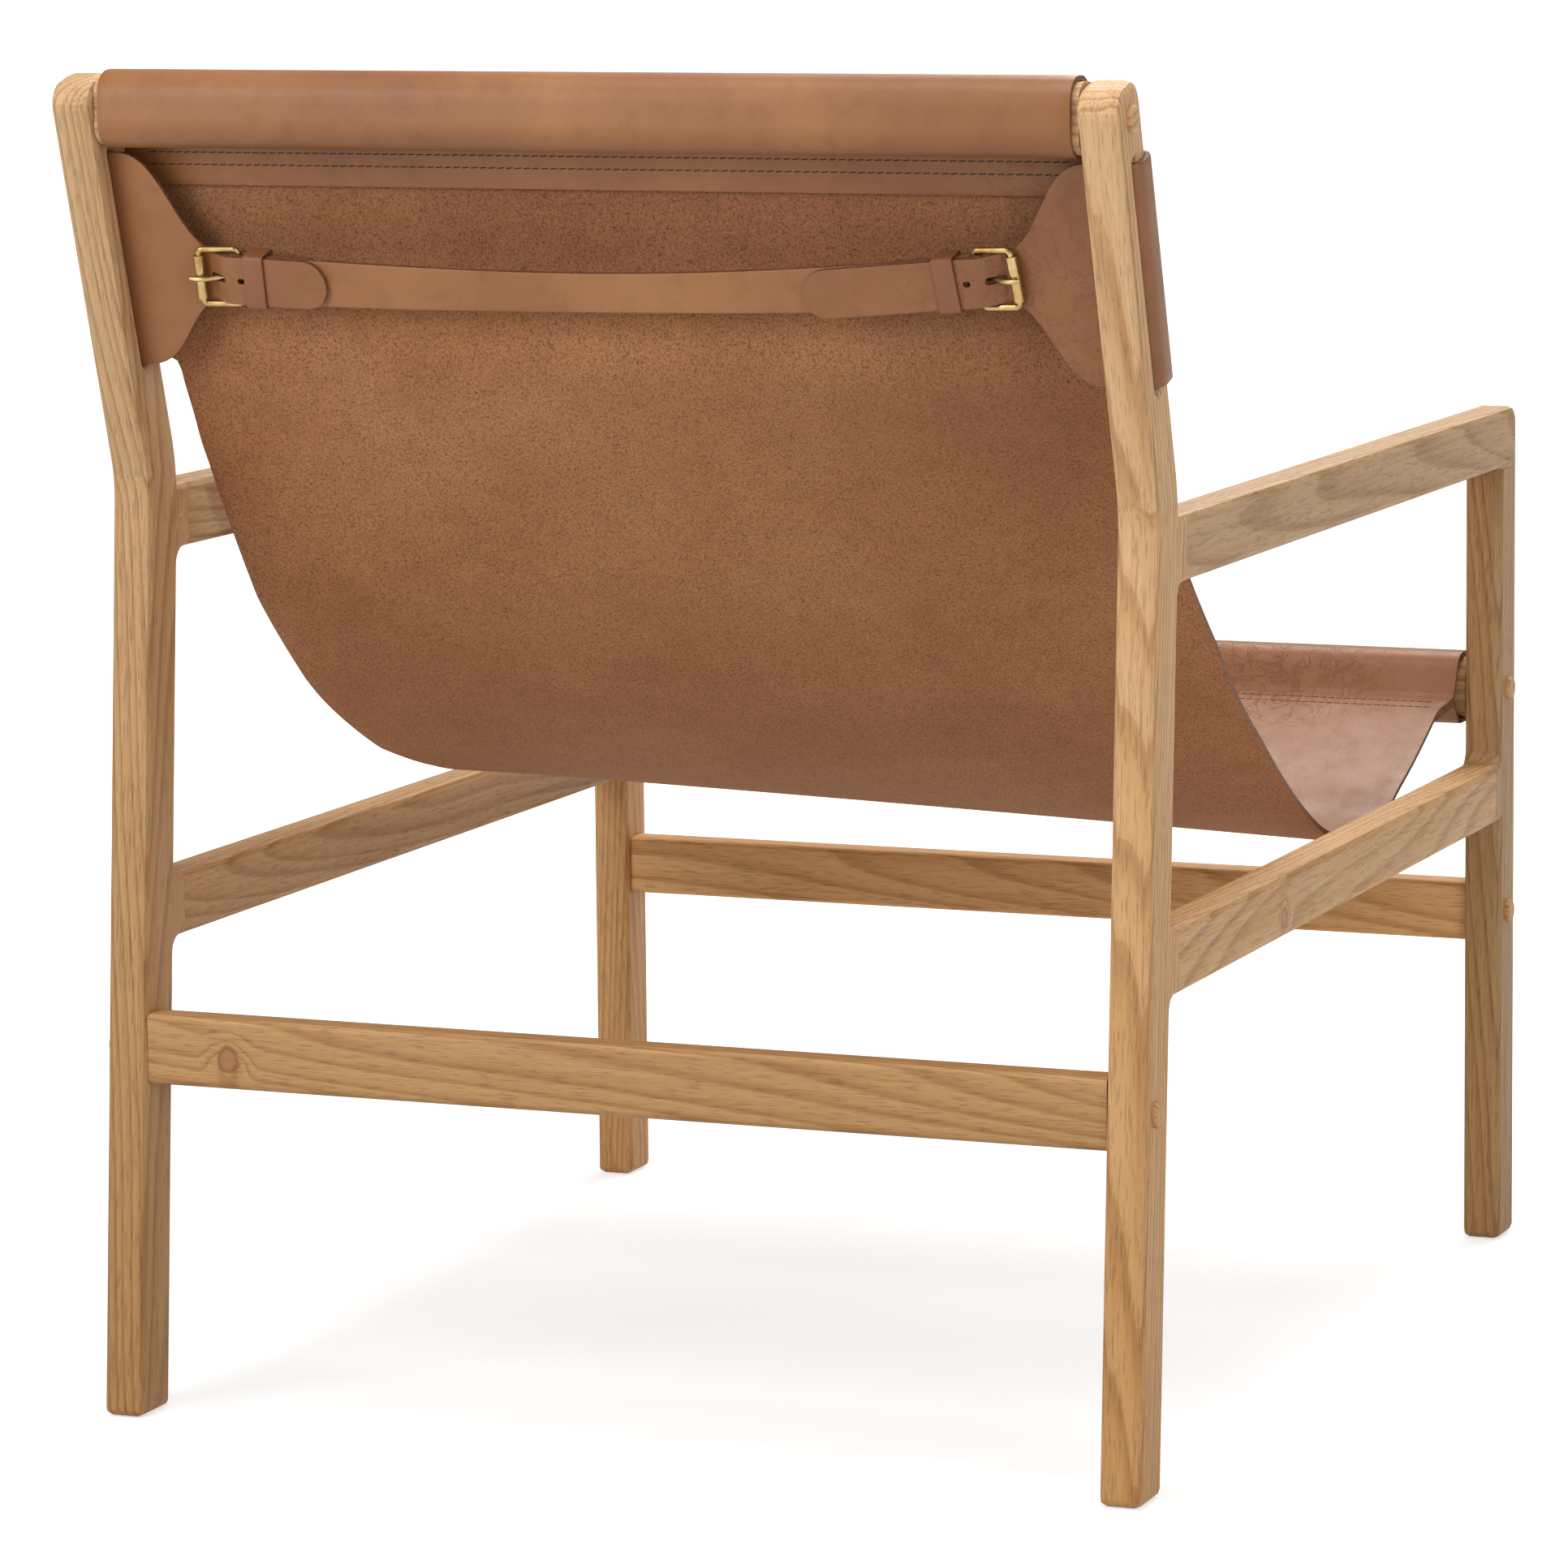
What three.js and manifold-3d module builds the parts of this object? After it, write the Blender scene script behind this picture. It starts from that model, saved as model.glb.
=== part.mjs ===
// A lounge chair: a jointed and bolted hardwood frame, a one-piece leather sling and a strap that
// draws the sling's two wings together behind the back through a pair of roller buckles.
// Millimetres, +Z up. The chair faces -Y and the origin is on the floor in the middle of its footprint.
import * as THREE from "three";
import { mergeVertices } from "three/addons/utils/BufferGeometryUtils.js";
import Module from "manifold-3d";

const wasm = await Module();
wasm.setup();

// Frame: widths run along X, depths back from the front legs' front face, heights up from the floor
const frameWidth = 650;
const timberThickness = 25;
const edgeEase = 4.5;
const endRounding = 5;
const frontLegDepth = 37;
const frontLegHeight = 512;
const frontBossReach = 10;
const rearLegDepth = 39;
const rearBossReach = 12;
const kinkSetback = 718;
const kinkAboveArm = 6.5;
const kinkRadius = 100;
const postLength = 247;
const postRounding = 14;
const lowerLeanShare = 0.067;
const upperLeanShare = 0.3;
const armHeight = 39.5;
const armNoseRounding = 10;
const railBottom = 280;
const railHeight = 38.5;
const filletUnderRail = 9;
const filletOverRail = 6;
const filletUnderArm = 10;
const filletOverFrontRail = 9;

// Cross members
const rearStretcherBottom = 198.5;
const rearStretcherHeight = 42;
const frontStretcherBottom = 198.5;
const frontStretcherHeight = 39;
const stretcherDepth = 22;
const rearStretcherInset = 4;
const stretcherEase = 4;
const barDepth = 28;
const barHeight = 40;
const barRounding = 11;
const backBarRise = 227.5;
const seatBarHeight = 366.5;

// Joinery
const jointGap = 0.2;
const tenonGap = 0.3;
const tenonThickness = 12;
const tenonHeight = 25;
const tenonLength = 22;
const stubThickness = 12;
const stubHeight = 20;
const stubLength = 6;
const pinDiameter = 3.2;
const pinLength = 14;
const pinInset = 11;
const pinProud = 0.4;
const pinGap = 0.1;

// Bolts, their cross-drilled nuts and the turned plugs over their heads
const plugDiameter = 15.2;
const plugDepth = 5.5;
const plugProud = 3;
const plugRounding = 1.6;
const boltDiameter = 6;
const boltHeadDiameter = 13;
const boltHeadHeight = 3.6;
const boltLength = 64;
const boltGap = 0.2;
const nutDiameter = 10;
const nutLength = 14;
const nutInset = 35;
const nutGap = 0.1;
const boreGap = 0.1;

// Leather sling
const leatherThickness = 3;
const leatherGap = 0.4;
const panelInset = 11;
const sleeveInset = 4;
const sleeveFade = 26;
const backFoldReach = 51.5;
const seatFoldReach = 20;
const foldTurn = 3;
const creaseSetback = 14;
const creaseDrop = 5.5;
const skewReach = 25;
const wingBottom = 70.5;
const wingTop = 201.5;
const straightBottom = 66;
const straightTop = 190;
const slotMargin = 3;
const slotWidth = 7;
const slotEase = 3.5;
const slotTurn = 6;

// Where the sling hangs between the two bars: share of the depth between their centres, share of the
// height between them, and share of the skew that its edges have, one edge out and the other in
const slingShares = [
  [0.882, 0.562, 0.28],
  [0.854, 0.501, 0.52],
  [0.764, 0.308, 1],
  [0.684, 0.172, 1],
  [0.63, 0.096, 0.82],
  [0.557, 0.016, 0.6],
  [0.466, -0.062, 0.12],
  [0.388, -0.111, -0.24],
  [0.309, -0.139, -0.44],
  [0.226, -0.135, -0.44],
  [0.178, -0.108, -0.32],
  [0.115, -0.072, -0.16],
];
const slingSteps = 4;
const slingSamples = 33;

// Flaps and billets, in the leaning plane of the rear legs' upper posts
const flapInset = 4;
const flapLength = 50;
const shoulderShares = { lead: 0.52, dive: 0.56, settle: 0.2 };
const billetWidth = 29;
const billetReach = { left: 58, right: 102 };
const billetTip = 12;
const billetSink = 0.9;
const billetHoleWidth = 4.4;

// Where a billet sinks under the toe and rises over the strap's end, and where its long hole starts and
// ends, in buckle lengths out from the heel bar
const billetShares = { level: 2.4, sunk: 1.4, toe: 0.76, risen: 0.27 };
const holeShares = { start: 0.36, end: 0.66 };

// Strap and buckles
const strapThickness = 2.8;
const strapEndWidth = 28.5;
const strapWaistWidth = 23.6;
const chapeLength = 48;
const chapeMerge = 14;
const strapStep = 40;
const heelInset = { left: 70.5, right: 73.5 };
const heelRise = { left: 126, right: 133 };
const tiltShares = { left: 0.045, right: 0.09 };
const buckleWire = 3.8;
const buckleWidth = 37.5;
const buckleLength = 23.5;
const buckleCorner = 3.2;
const toeLift = 4;
const rollerDiameter = 6.5;
const rollerLength = 26.5;
const rollerBoreGap = 0.2;
const loopGap = 0.15;
const prongDiameter = 2.8;
const prongEyeWall = 1.7;
const prongEyeWidth = 4.6;
const prongSlotWidth = 6.4;
const prongOverhang = 4.5;
const restGap = 0.25;
const keeperWidth = 12.5;
const keeperWall = 2;
const keeperRounding = 2.4;
const keeperGap = 0.25;
const keeperSetback = { left: 7, right: 10 };

// One overrun serves every cut, and a skin serves cuts that end in a face
const overrun = 30;
const skin = 0.05;

const halfWidth = frameWidth / 2;
const innerFace = halfWidth - timberThickness;
const armBottom = frontLegHeight;
const armTop = armBottom + armHeight;
const railTop = railBottom + railHeight;
const kinkHeight = armTop + kinkAboveArm;
const lowerLean = Math.atan(lowerLeanShare);
const upperLean = Math.atan(upperLeanShare);
const halfPost = rearLegDepth / 2;
const halfLeather = leatherThickness / 2;
const panelWidth = 2 * (innerFace - panelInset);
const sleeveWidth = 2 * (innerFace - sleeveInset);
const flapRoot = innerFace - flapInset;
const flapEnd = flapRoot - flapLength;
const heelReach = { left: innerFace - heelInset.left, right: innerFace - heelInset.right };

// A point on the leaning post: how far up from the kink, and how far behind the post's middle line
function onPost(rise, behind) {
  return new THREE.Vector2(
    kinkSetback + rise * Math.sin(upperLean) + behind * Math.cos(upperLean),
    kinkHeight + rise * Math.cos(upperLean) - behind * Math.sin(upperLean),
  );
}

// A point on the lower part of the rear leg, at a height above the floor
function onLowerLeg(height, behind) {
  const middle = kinkSetback + (kinkHeight - height) * lowerLeanShare;
  return new THREE.Vector2(middle + behind / Math.cos(lowerLean), height);
}

const backBar = onPost(backBarRise, 0);
const seatBar = new THREE.Vector2(frontLegDepth / 2, seatBarHeight);
const rearReach = onPost(postLength - postRounding, halfPost - postRounding).x + postRounding;
const railRearJoint = onLowerLeg((railBottom + railTop) / 2, -halfPost).x - rearBossReach;
const armRearJoint = onLowerLeg((armBottom + armTop) / 2, -halfPost).x - rearBossReach;
const railFrontJoint = frontLegDepth + frontBossReach;

// Materials
function teak() {
  return new THREE.MeshStandardMaterial({ color: "#b58757", roughness: 0.55, metalness: 0 });
}

function leather() {
  return new THREE.MeshStandardMaterial({ color: "#a9683c", roughness: 0.6, metalness: 0 });
}

function agedBrass() {
  return new THREE.MeshStandardMaterial({ color: "#7d6337", roughness: 0.4, metalness: 0.9 });
}

function zincSteel() {
  return new THREE.MeshStandardMaterial({ color: "#a6a9ab", roughness: 0.35, metalness: 0.9 });
}

// Solids
function solidOf(geometry) {
  const bare = geometry.clone();
  bare.deleteAttribute("normal");
  bare.deleteAttribute("uv");
  const merged = mergeVertices(bare, skin / 100);
  const vertProperties = merged.attributes.position.array;
  const triVerts = new Uint32Array(merged.index.array);
  return new wasm.Manifold(new wasm.Mesh({ numProp: 3, vertProperties, triVerts }));
}

function geometryOf(solid) {
  const mesh = solid.getMesh();
  const geometry = new THREE.BufferGeometry();
  geometry.setAttribute("position", new THREE.BufferAttribute(mesh.vertProperties, 3));
  geometry.setIndex(new THREE.BufferAttribute(mesh.triVerts, 1));
  const faceted = geometry.toNonIndexed();
  faceted.computeVertexNormals();
  return faceted;
}

function boxSolid(size, centre) {
  return solidOf(new THREE.BoxGeometry(...size).translate(...centre));
}

function rodSolid(diameter, length, axis, centre, sides = 12) {
  const rod = new THREE.CylinderGeometry(diameter / 2, diameter / 2, length, sides);
  if (axis === "x") rod.rotateZ(Math.PI / 2);
  if (axis === "z") rod.rotateX(Math.PI / 2);
  return solidOf(rod.translate(...centre));
}

// A closed outline through corners [across, up, radius], each rounded by an arc of its radius
function roundedOutline(corners, target = new THREE.Shape()) {
  corners.forEach(([across, up, radius], index) => {
    const corner = new THREE.Vector2(across, up);
    if (!radius) {
      if (index) target.lineTo(across, up);
      else target.moveTo(across, up);
      return;
    }
    const [backAcross, backUp] = corners.at(index - 1);
    const [aheadAcross, aheadUp] = corners[(index + 1) % corners.length];
    const back = new THREE.Vector2(backAcross, backUp).sub(corner).normalize();
    const ahead = new THREE.Vector2(aheadAcross, aheadUp).sub(corner).normalize();
    const halfAngle = Math.acos(THREE.MathUtils.clamp(back.dot(ahead), -1, 1)) / 2;
    const reach = radius / Math.tan(halfAngle);
    const centre = back.clone().add(ahead).setLength(radius / Math.sin(halfAngle)).add(corner);
    const start = back.clone().multiplyScalar(reach).add(corner).sub(centre);
    const end = ahead.clone().multiplyScalar(reach).add(corner).sub(centre);
    if (index) target.lineTo(start.x + centre.x, start.y + centre.y);
    else target.moveTo(start.x + centre.x, start.y + centre.y);
    target.absarc(centre.x, centre.y, radius, start.angle(), end.angle(), start.cross(end) < 0);
  });
  target.closePath();
  return target;
}

function rectangle(left, bottom, right, top, radius) {
  return [
    [left, bottom, radius],
    [right, bottom, radius],
    [right, top, radius],
    [left, top, radius],
  ];
}

// Turns a side view, depth across and height up, so that its thickness runs along X
function sideways(geometry) {
  const turn = new THREE.Matrix4().makeBasis(
    new THREE.Vector3(0, 1, 0),
    new THREE.Vector3(0, 0, 1),
    new THREE.Vector3(1, 0, 0),
  );
  return geometry.applyMatrix4(turn);
}

// A board sawn to a side view outline, with all its edges eased, centred on X = 0
function board(corners) {
  const sawn = new THREE.ExtrudeGeometry(roundedOutline(corners), {
    depth: timberThickness - 2 * edgeEase,
    bevelThickness: edgeEase,
    bevelSize: edgeEase,
    bevelOffset: -edgeEase,
    bevelSegments: 2,
    curveSegments: 3,
  });
  sawn.translate(0, 0, edgeEase - timberThickness / 2);
  return solidOf(sideways(sawn));
}

// Tenons and mortises of the side frames; the slack is 0 for a tenon and a gap for its mortise
function tenonAlongDepth(from, to, height, slack) {
  return boxSolid(
    [tenonThickness + 2 * slack, Math.abs(to - from) + slack, tenonHeight + 2 * slack],
    [0, (from + to + Math.sign(to - from) * slack) / 2, height],
  );
}

function legTopTenon(slack) {
  const reach = overrun / 2;
  const rise = tenonLength + slack;
  return boxSolid(
    [tenonThickness + 2 * slack, tenonHeight + 2 * slack, rise + reach],
    [0, frontLegDepth / 2, armBottom + (rise - reach) / 2],
  );
}

const railMiddle = (railBottom + railTop) / 2;
const armMiddle = (armBottom + armTop) / 2;

// Bolted joints of the cross members: where each bolt runs along X
const boltLines = {
  back_bar: [backBar.x, backBar.y],
  seat_bar: [seatBar.x, seatBar.y],
  rear_stretcher: [
    onLowerLeg(rearStretcherBottom + rearStretcherHeight / 2, halfPost).x -
      rearStretcherInset -
      stretcherDepth / 2,
    rearStretcherBottom + rearStretcherHeight / 2,
  ],
  front_stretcher: [frontLegDepth / 2, frontStretcherBottom + frontStretcherHeight / 2],
};

// What is cut from a leg for one bolt, with the leg centred on X = 0 and its outside towards side
function boltBores(line, side) {
  const [depth, height] = boltLines[line];
  const seat = plugDepth + boltHeadHeight;
  const counterbore = rodSolid(
    plugDiameter + 2 * boreGap,
    seat + overrun,
    "x",
    [(side * (timberThickness + overrun - seat)) / 2, depth, height],
    20,
  );
  const shank = rodSolid(boltDiameter + 2 * boltGap, timberThickness + overrun, "x", [0, depth, height]);
  const stub = boxSolid(
    [stubLength + tenonGap + overrun, stubThickness + 2 * tenonGap, stubHeight + 2 * tenonGap],
    [-side * ((timberThickness + overrun - stubLength - tenonGap) / 2), depth, height],
  );
  return [counterbore, shank, stub];
}

function cutAll(solid, cuts) {
  return cuts.reduce((left, cut) => left.subtract(cut), solid);
}

// The corner that an arc about the kink's centre rounds, between two directions from that centre
function kinkCorner(radius, from, to) {
  const swing = (lowerLean + upperLean) / 2;
  const outward = kinkRadius / Math.cos(swing);
  const tilt = (lowerLean - upperLean) / 2;
  const centre = [kinkSetback + outward * Math.cos(tilt), kinkHeight + outward * Math.sin(tilt)];
  const middle = (from + to) / 2;
  const reach = radius / Math.cos((from - to) / 2);
  return [centre[0] + reach * Math.cos(middle), centre[1] + reach * Math.sin(middle), radius];
}

function kinkCentre() {
  const [across, up] = kinkCorner(0, 0, 0);
  return { across, up };
}

// Rear leg: a raked foot, bosses that meet the rail and the arm, a steam-bent kink and a leaning post
function rearLeg(side) {
  const front = (height) => onLowerLeg(height, -halfPost).x;
  const outer = kinkRadius + halfPost;
  const armTopAngle = Math.PI - Math.asin((armTop - kinkCentre().up) / outer);
  const armTopFace = kinkCentre().across + outer * Math.cos(armTopAngle);
  const footRear = onLowerLeg(0, halfPost);
  const postFront = onPost(postLength, -halfPost);
  const postRear = onPost(postLength, halfPost);
  const leg = board([
    [front(0), 0, endRounding],
    [footRear.x, 0, endRounding],
    kinkCorner(kinkRadius - halfPost, Math.PI + lowerLean, Math.PI - upperLean),
    [postRear.x, postRear.y, postRounding],
    [postFront.x, postFront.y, postRounding],
    kinkCorner(outer, Math.PI - upperLean, armTopAngle),
    [armTopFace, armTop, 0],
    [armRearJoint - overrun, armTop, 0],
    [armRearJoint - overrun, armBottom, 0],
    [front(armBottom), armBottom, filletUnderArm],
    [front(railTop), railTop, filletOverRail],
    [railRearJoint - overrun, railTop, 0],
    [railRearJoint - overrun, railBottom, 0],
    [front(railBottom), railBottom, filletUnderRail],
  ]);
  const jointCut = (joint, height) =>
    boxSolid([frameWidth, 2 * overrun, 2 * armHeight], [0, joint - overrun, height]);
  return cutAll(leg, [
    jointCut(railRearJoint, railMiddle),
    jointCut(armRearJoint, armMiddle),
    tenonAlongDepth(railRearJoint, railRearJoint + tenonLength, railMiddle, tenonGap),
    tenonAlongDepth(armRearJoint, armRearJoint + tenonLength, armMiddle, tenonGap),
    wingSlot(),
    ...boltBores("back_bar", side),
    ...boltBores("rear_stretcher", side),
    armPinBore(armRearJoint + pinInset, -side),
  ]);
}

// The slot that a wing of the sling passes through, rounded at its ends and eased on both faces
function wingSlot() {
  const half = slotWidth / 2;
  const outline = roundedOutline(
    rectangle(-half, wingBottom - slotMargin, half, wingTop + slotMargin, half - skin),
  );
  const slot = new THREE.ExtrudeGeometry(outline, {
    depth: timberThickness - 2 * slotEase + 2 * skin,
    bevelThickness: slotEase,
    bevelSize: -slotEase,
    bevelOffset: slotEase,
    bevelSegments: 2,
    curveSegments: 4,
  });
  slot.translate(0, 0, slotEase - timberThickness / 2 - skin);
  slot.rotateZ(-upperLean);
  slot.translate(kinkSetback, kinkHeight, 0);
  return solidOf(sideways(slot));
}

// Front leg: square to the floor, with a boss for the rail and a tenon up into the arm
function frontLeg(side) {
  const leg = board([
    [0, 0, endRounding],
    [frontLegDepth, 0, endRounding],
    [frontLegDepth, railBottom, 0],
    [railFrontJoint + overrun, railBottom, 0],
    [railFrontJoint + overrun, railTop, 0],
    [frontLegDepth, railTop, filletOverFrontRail],
    [frontLegDepth, armBottom + overrun, 0],
    [0, armBottom + overrun, 0],
  ]);
  const cuts = [
    boxSolid([frameWidth, 2 * overrun, 2 * railHeight], [0, railFrontJoint + overrun, railMiddle]),
    boxSolid([frameWidth, 4 * overrun, 2 * overrun], [0, 0, armBottom + overrun]),
    tenonAlongDepth(railFrontJoint, railFrontJoint - tenonLength, railMiddle, tenonGap),
    ...boltBores("seat_bar", side),
    ...boltBores("front_stretcher", side),
  ];
  return cutAll(leg, cuts).add(legTopTenon(0)).subtract(armPinBore(frontLegDepth / 2, -side));
}

// Side rail: tenoned into both legs
function sideRail() {
  const from = railFrontJoint + jointGap;
  const to = railRearJoint - jointGap;
  const rail = board([
    [from - overrun, railBottom, 0],
    [to + overrun, railBottom, 0],
    [to + overrun, railTop, 0],
    [from - overrun, railTop, 0],
  ]);
  return cutAll(rail, [
    boxSolid([frameWidth, 2 * overrun, 2 * railHeight], [0, from - overrun, railMiddle]),
    boxSolid([frameWidth, 2 * overrun, 2 * railHeight], [0, to + overrun, railMiddle]),
  ])
    .add(tenonAlongDepth(from + overrun, from - tenonLength, railMiddle, 0))
    .add(tenonAlongDepth(to - overrun, to + tenonLength, railMiddle, 0));
}

// Arm: tenoned into the rear leg, and seated on the front leg with its nose rounded
function arm(side) {
  const to = armRearJoint - jointGap;
  const seat = armBottom + jointGap;
  const blank = board([
    [0, armBottom - overrun, 0],
    [frontLegDepth, armBottom - overrun, 0],
    [frontLegDepth, seat, 0],
    [to + overrun, seat, 0],
    [to + overrun, armTop, 0],
    [0, armTop, armNoseRounding],
  ]);
  return cutAll(blank, [
    boxSolid([frameWidth, 2 * overrun, 4 * overrun], [0, to + overrun, armBottom]),
    boxSolid([frameWidth, 4 * overrun, 2 * overrun], [0, 0, seat - overrun]),
    legTopTenon(tenonGap),
    armPinBore(frontLegDepth / 2, -side),
  ])
    .add(tenonAlongDepth(to - overrun, to + tenonLength, armMiddle, 0))
    .subtract(armPinBore(armRearJoint + pinInset, -side));
}

// A pin is driven from the inner face into each tenon of the arm
function armPinBore(depth, inward) {
  const reach = pinLength - pinProud;
  const bore = reach + pinGap + overrun;
  const centre = inward * (timberThickness / 2 - reach - pinGap + bore / 2);
  return rodSolid(pinDiameter + 2 * pinGap, bore, "x", [centre, depth, armMiddle], 12);
}

function armPin() {
  return rodSolid(pinDiameter, pinLength, "x", [0, 0, 0], 12);
}

// A cross member between the legs' inner faces, with a stub tenon, a bolt bore and a nut bore each end
function crossMember(line, memberDepth, memberHeight, rounding, segments) {
  const [depth, height] = boltLines[line];
  const length = 2 * (innerFace - jointGap);
  const outline = roundedOutline(
    rectangle(-memberDepth / 2, -memberHeight / 2, memberDepth / 2, memberHeight / 2, rounding),
  );
  const blank = new THREE.ExtrudeGeometry(outline, {
    depth: length,
    bevelEnabled: false,
    curveSegments: segments,
  });
  let member = solidOf(sideways(blank.translate(0, 0, -length / 2)));
  for (const side of [-1, 1]) {
    const end = (side * length) / 2;
    const stub = boxSolid([2 * stubLength, stubThickness, stubHeight], [end, 0, 0]);
    const bore = boltLength - timberThickness + overrun;
    const boltBore = rodSolid(boltDiameter + 2 * boltGap, 2 * bore, "x", [end, 0, 0]);
    const nutBore = rodSolid(
      nutDiameter + 2 * nutGap,
      memberHeight,
      "z",
      [end - side * nutInset, 0, (nutLength - memberHeight) / 2 + nutGap],
      14,
    );
    member = member.add(stub).subtract(boltBore).subtract(nutBore);
  }
  return member.translate([0, depth, height]);
}

// Bolt: its head sits in the leg's counterbore, its shank runs along +X
function bolt() {
  const outline = [
    new THREE.Vector2(0, 0),
    new THREE.Vector2(boltHeadDiameter / 2, 0),
    new THREE.Vector2(boltHeadDiameter / 2, boltHeadHeight - boreGap),
    new THREE.Vector2(boltDiameter / 2, boltHeadHeight - boreGap),
    new THREE.Vector2(boltDiameter / 2, boltLength),
    new THREE.Vector2(0, boltLength),
  ];
  return solidOf(new THREE.LatheGeometry(outline, 14).rotateZ(-Math.PI / 2));
}

// Cross-drilled nut: it stands upright in the member and the bolt's end runs through it
function barrelNut() {
  const barrel = rodSolid(nutDiameter, nutLength, "z", [0, 0, 0], 14);
  return barrel.subtract(rodSolid(boltDiameter + boltGap, nutDiameter + overrun, "x", [0, 0, 0], 14));
}

// Plug: a turned button with a rounded rim, proud of the leg's outer face
function plug() {
  const radius = plugDiameter / 2;
  const rim = [0, 1, 2, 3].map((step) => {
    const angle = (step / 3) * (Math.PI / 2);
    return new THREE.Vector2(
      radius - plugRounding + plugRounding * Math.cos(angle),
      plugProud - plugRounding + plugRounding * Math.sin(angle),
    );
  });
  const bottom = -plugDepth;
  const outline = [new THREE.Vector2(0, bottom), new THREE.Vector2(radius, bottom), ...rim];
  outline.push(new THREE.Vector2(0, plugProud));
  return solidOf(new THREE.LatheGeometry(outline, 20).rotateZ(-Math.PI / 2));
}

// The middle line of the sling's panel, from the front of the back bar down to the seat bar's crease
function slingLine() {
  const lift = halfPost + leatherGap + halfLeather;
  const rollFront = backBar.x - barDepth / 2 - leatherGap - halfLeather;
  const crease = creasePoint();
  const points = [
    new THREE.Vector2(rollFront, backBar.y),
    onPost(straightTop, -lift),
    onPost((2 * straightTop + straightBottom) / 3, -lift),
    onPost((straightTop + 2 * straightBottom) / 3, -lift),
    onPost(straightBottom, -lift),
  ];
  const skews = points.map(() => 0);
  for (const [depthShare, heightShare, skewShare] of slingShares) {
    points.push(
      new THREE.Vector2(
        THREE.MathUtils.lerp(seatBar.x, backBar.x, depthShare),
        THREE.MathUtils.lerp(seatBar.y, backBar.y, heightShare),
      ),
    );
    skews.push(skewShare * skewReach);
  }
  points.push(crease);
  skews.push(0);
  return { curve: new THREE.SplineCurve(points), skews };
}

function creasePoint() {
  return new THREE.Vector2(seatBar.x + barDepth / 2 + creaseSetback, seatBar.y - creaseDrop);
}

// Stations along that line: where it is, the way square to it on the sitter's side, and its skew
function slingStations(count) {
  const { curve, skews } = slingLine();
  const length = curve.getLength();
  const folds = [backFoldReach / length, 1 - seatFoldReach / length];
  const shares = [...Array(count + 1).keys()].map((index) => index / count);
  return [...shares, ...folds].sort((a, b) => a - b).map((share) => {
    const at = curve.getUtoTmapping(share);
    const along = curve.getTangent(at);
    const place = at * (skews.length - 1);
    const below = Math.min(Math.floor(place), skews.length - 2);
    return {
      point: curve.getPoint(at),
      up: new THREE.Vector2(along.y, -along.x),
      skew: THREE.MathUtils.lerp(skews[below], skews[below + 1], place - below),
      underBackFold: share <= folds[0],
      betweenFolds: share >= folds[0] && share <= folds[1],
      overSeatFold: share >= folds[1],
    };
  });
}

function offsetFrom(station, distance) {
  return station.point.clone().addScaledVector(station.up, distance);
}

// Side view of the sling: the panel between two sleeves, each closed by a fold sewn to its underside
function slingOutline() {
  const stations = slingStations(slingSamples);
  const wall = leatherGap + leatherThickness;
  const outerRounding = barRounding + wall;
  const folded = -halfLeather - leatherThickness;
  const ahead = { x: barDepth / 2 + wall, y: barHeight / 2 + wall };
  const foldTop = backBar.y - ahead.y;
  const backFold = stations
    .filter((station) => station.underBackFold)
    .map((station) => offsetFrom(station, folded))
    .filter((point) => point.y < foldTop - foldTurn);
  const behindPanel = stations
    .filter((station) => station.betweenFolds)
    .map((station) => offsetFrom(station, -halfLeather));
  const underSeat = stations
    .filter((station) => station.overSeatFold)
    .map((station) => offsetFrom(station, folded));
  const corners = [
    [backBar.x - ahead.x, backBar.y + ahead.y, outerRounding],
    [backBar.x + ahead.x, backBar.y + ahead.y, outerRounding],
    [backBar.x + ahead.x, foldTop, outerRounding],
    [backFold[0].x + (foldTop - backFold[0].y) * upperLeanShare, foldTop, foldTurn],
  ];
  for (const point of [...backFold, ...behindPanel, ...underSeat]) corners.push([point.x, point.y, 0]);
  corners.push([seatBar.x + ahead.x, seatBar.y - ahead.y, outerRounding / 2]);
  corners.push([seatBar.x - ahead.x, seatBar.y - ahead.y, outerRounding]);
  corners.push([seatBar.x - ahead.x, seatBar.y + ahead.y, outerRounding]);
  corners.push([seatBar.x + ahead.x, seatBar.y + ahead.y, outerRounding]);
  for (const station of [...stations].reverse()) {
    const point = offsetFrom(station, halfLeather);
    corners.push([point.x, point.y, 0]);
  }
  return roundedOutline(corners);
}

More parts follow.
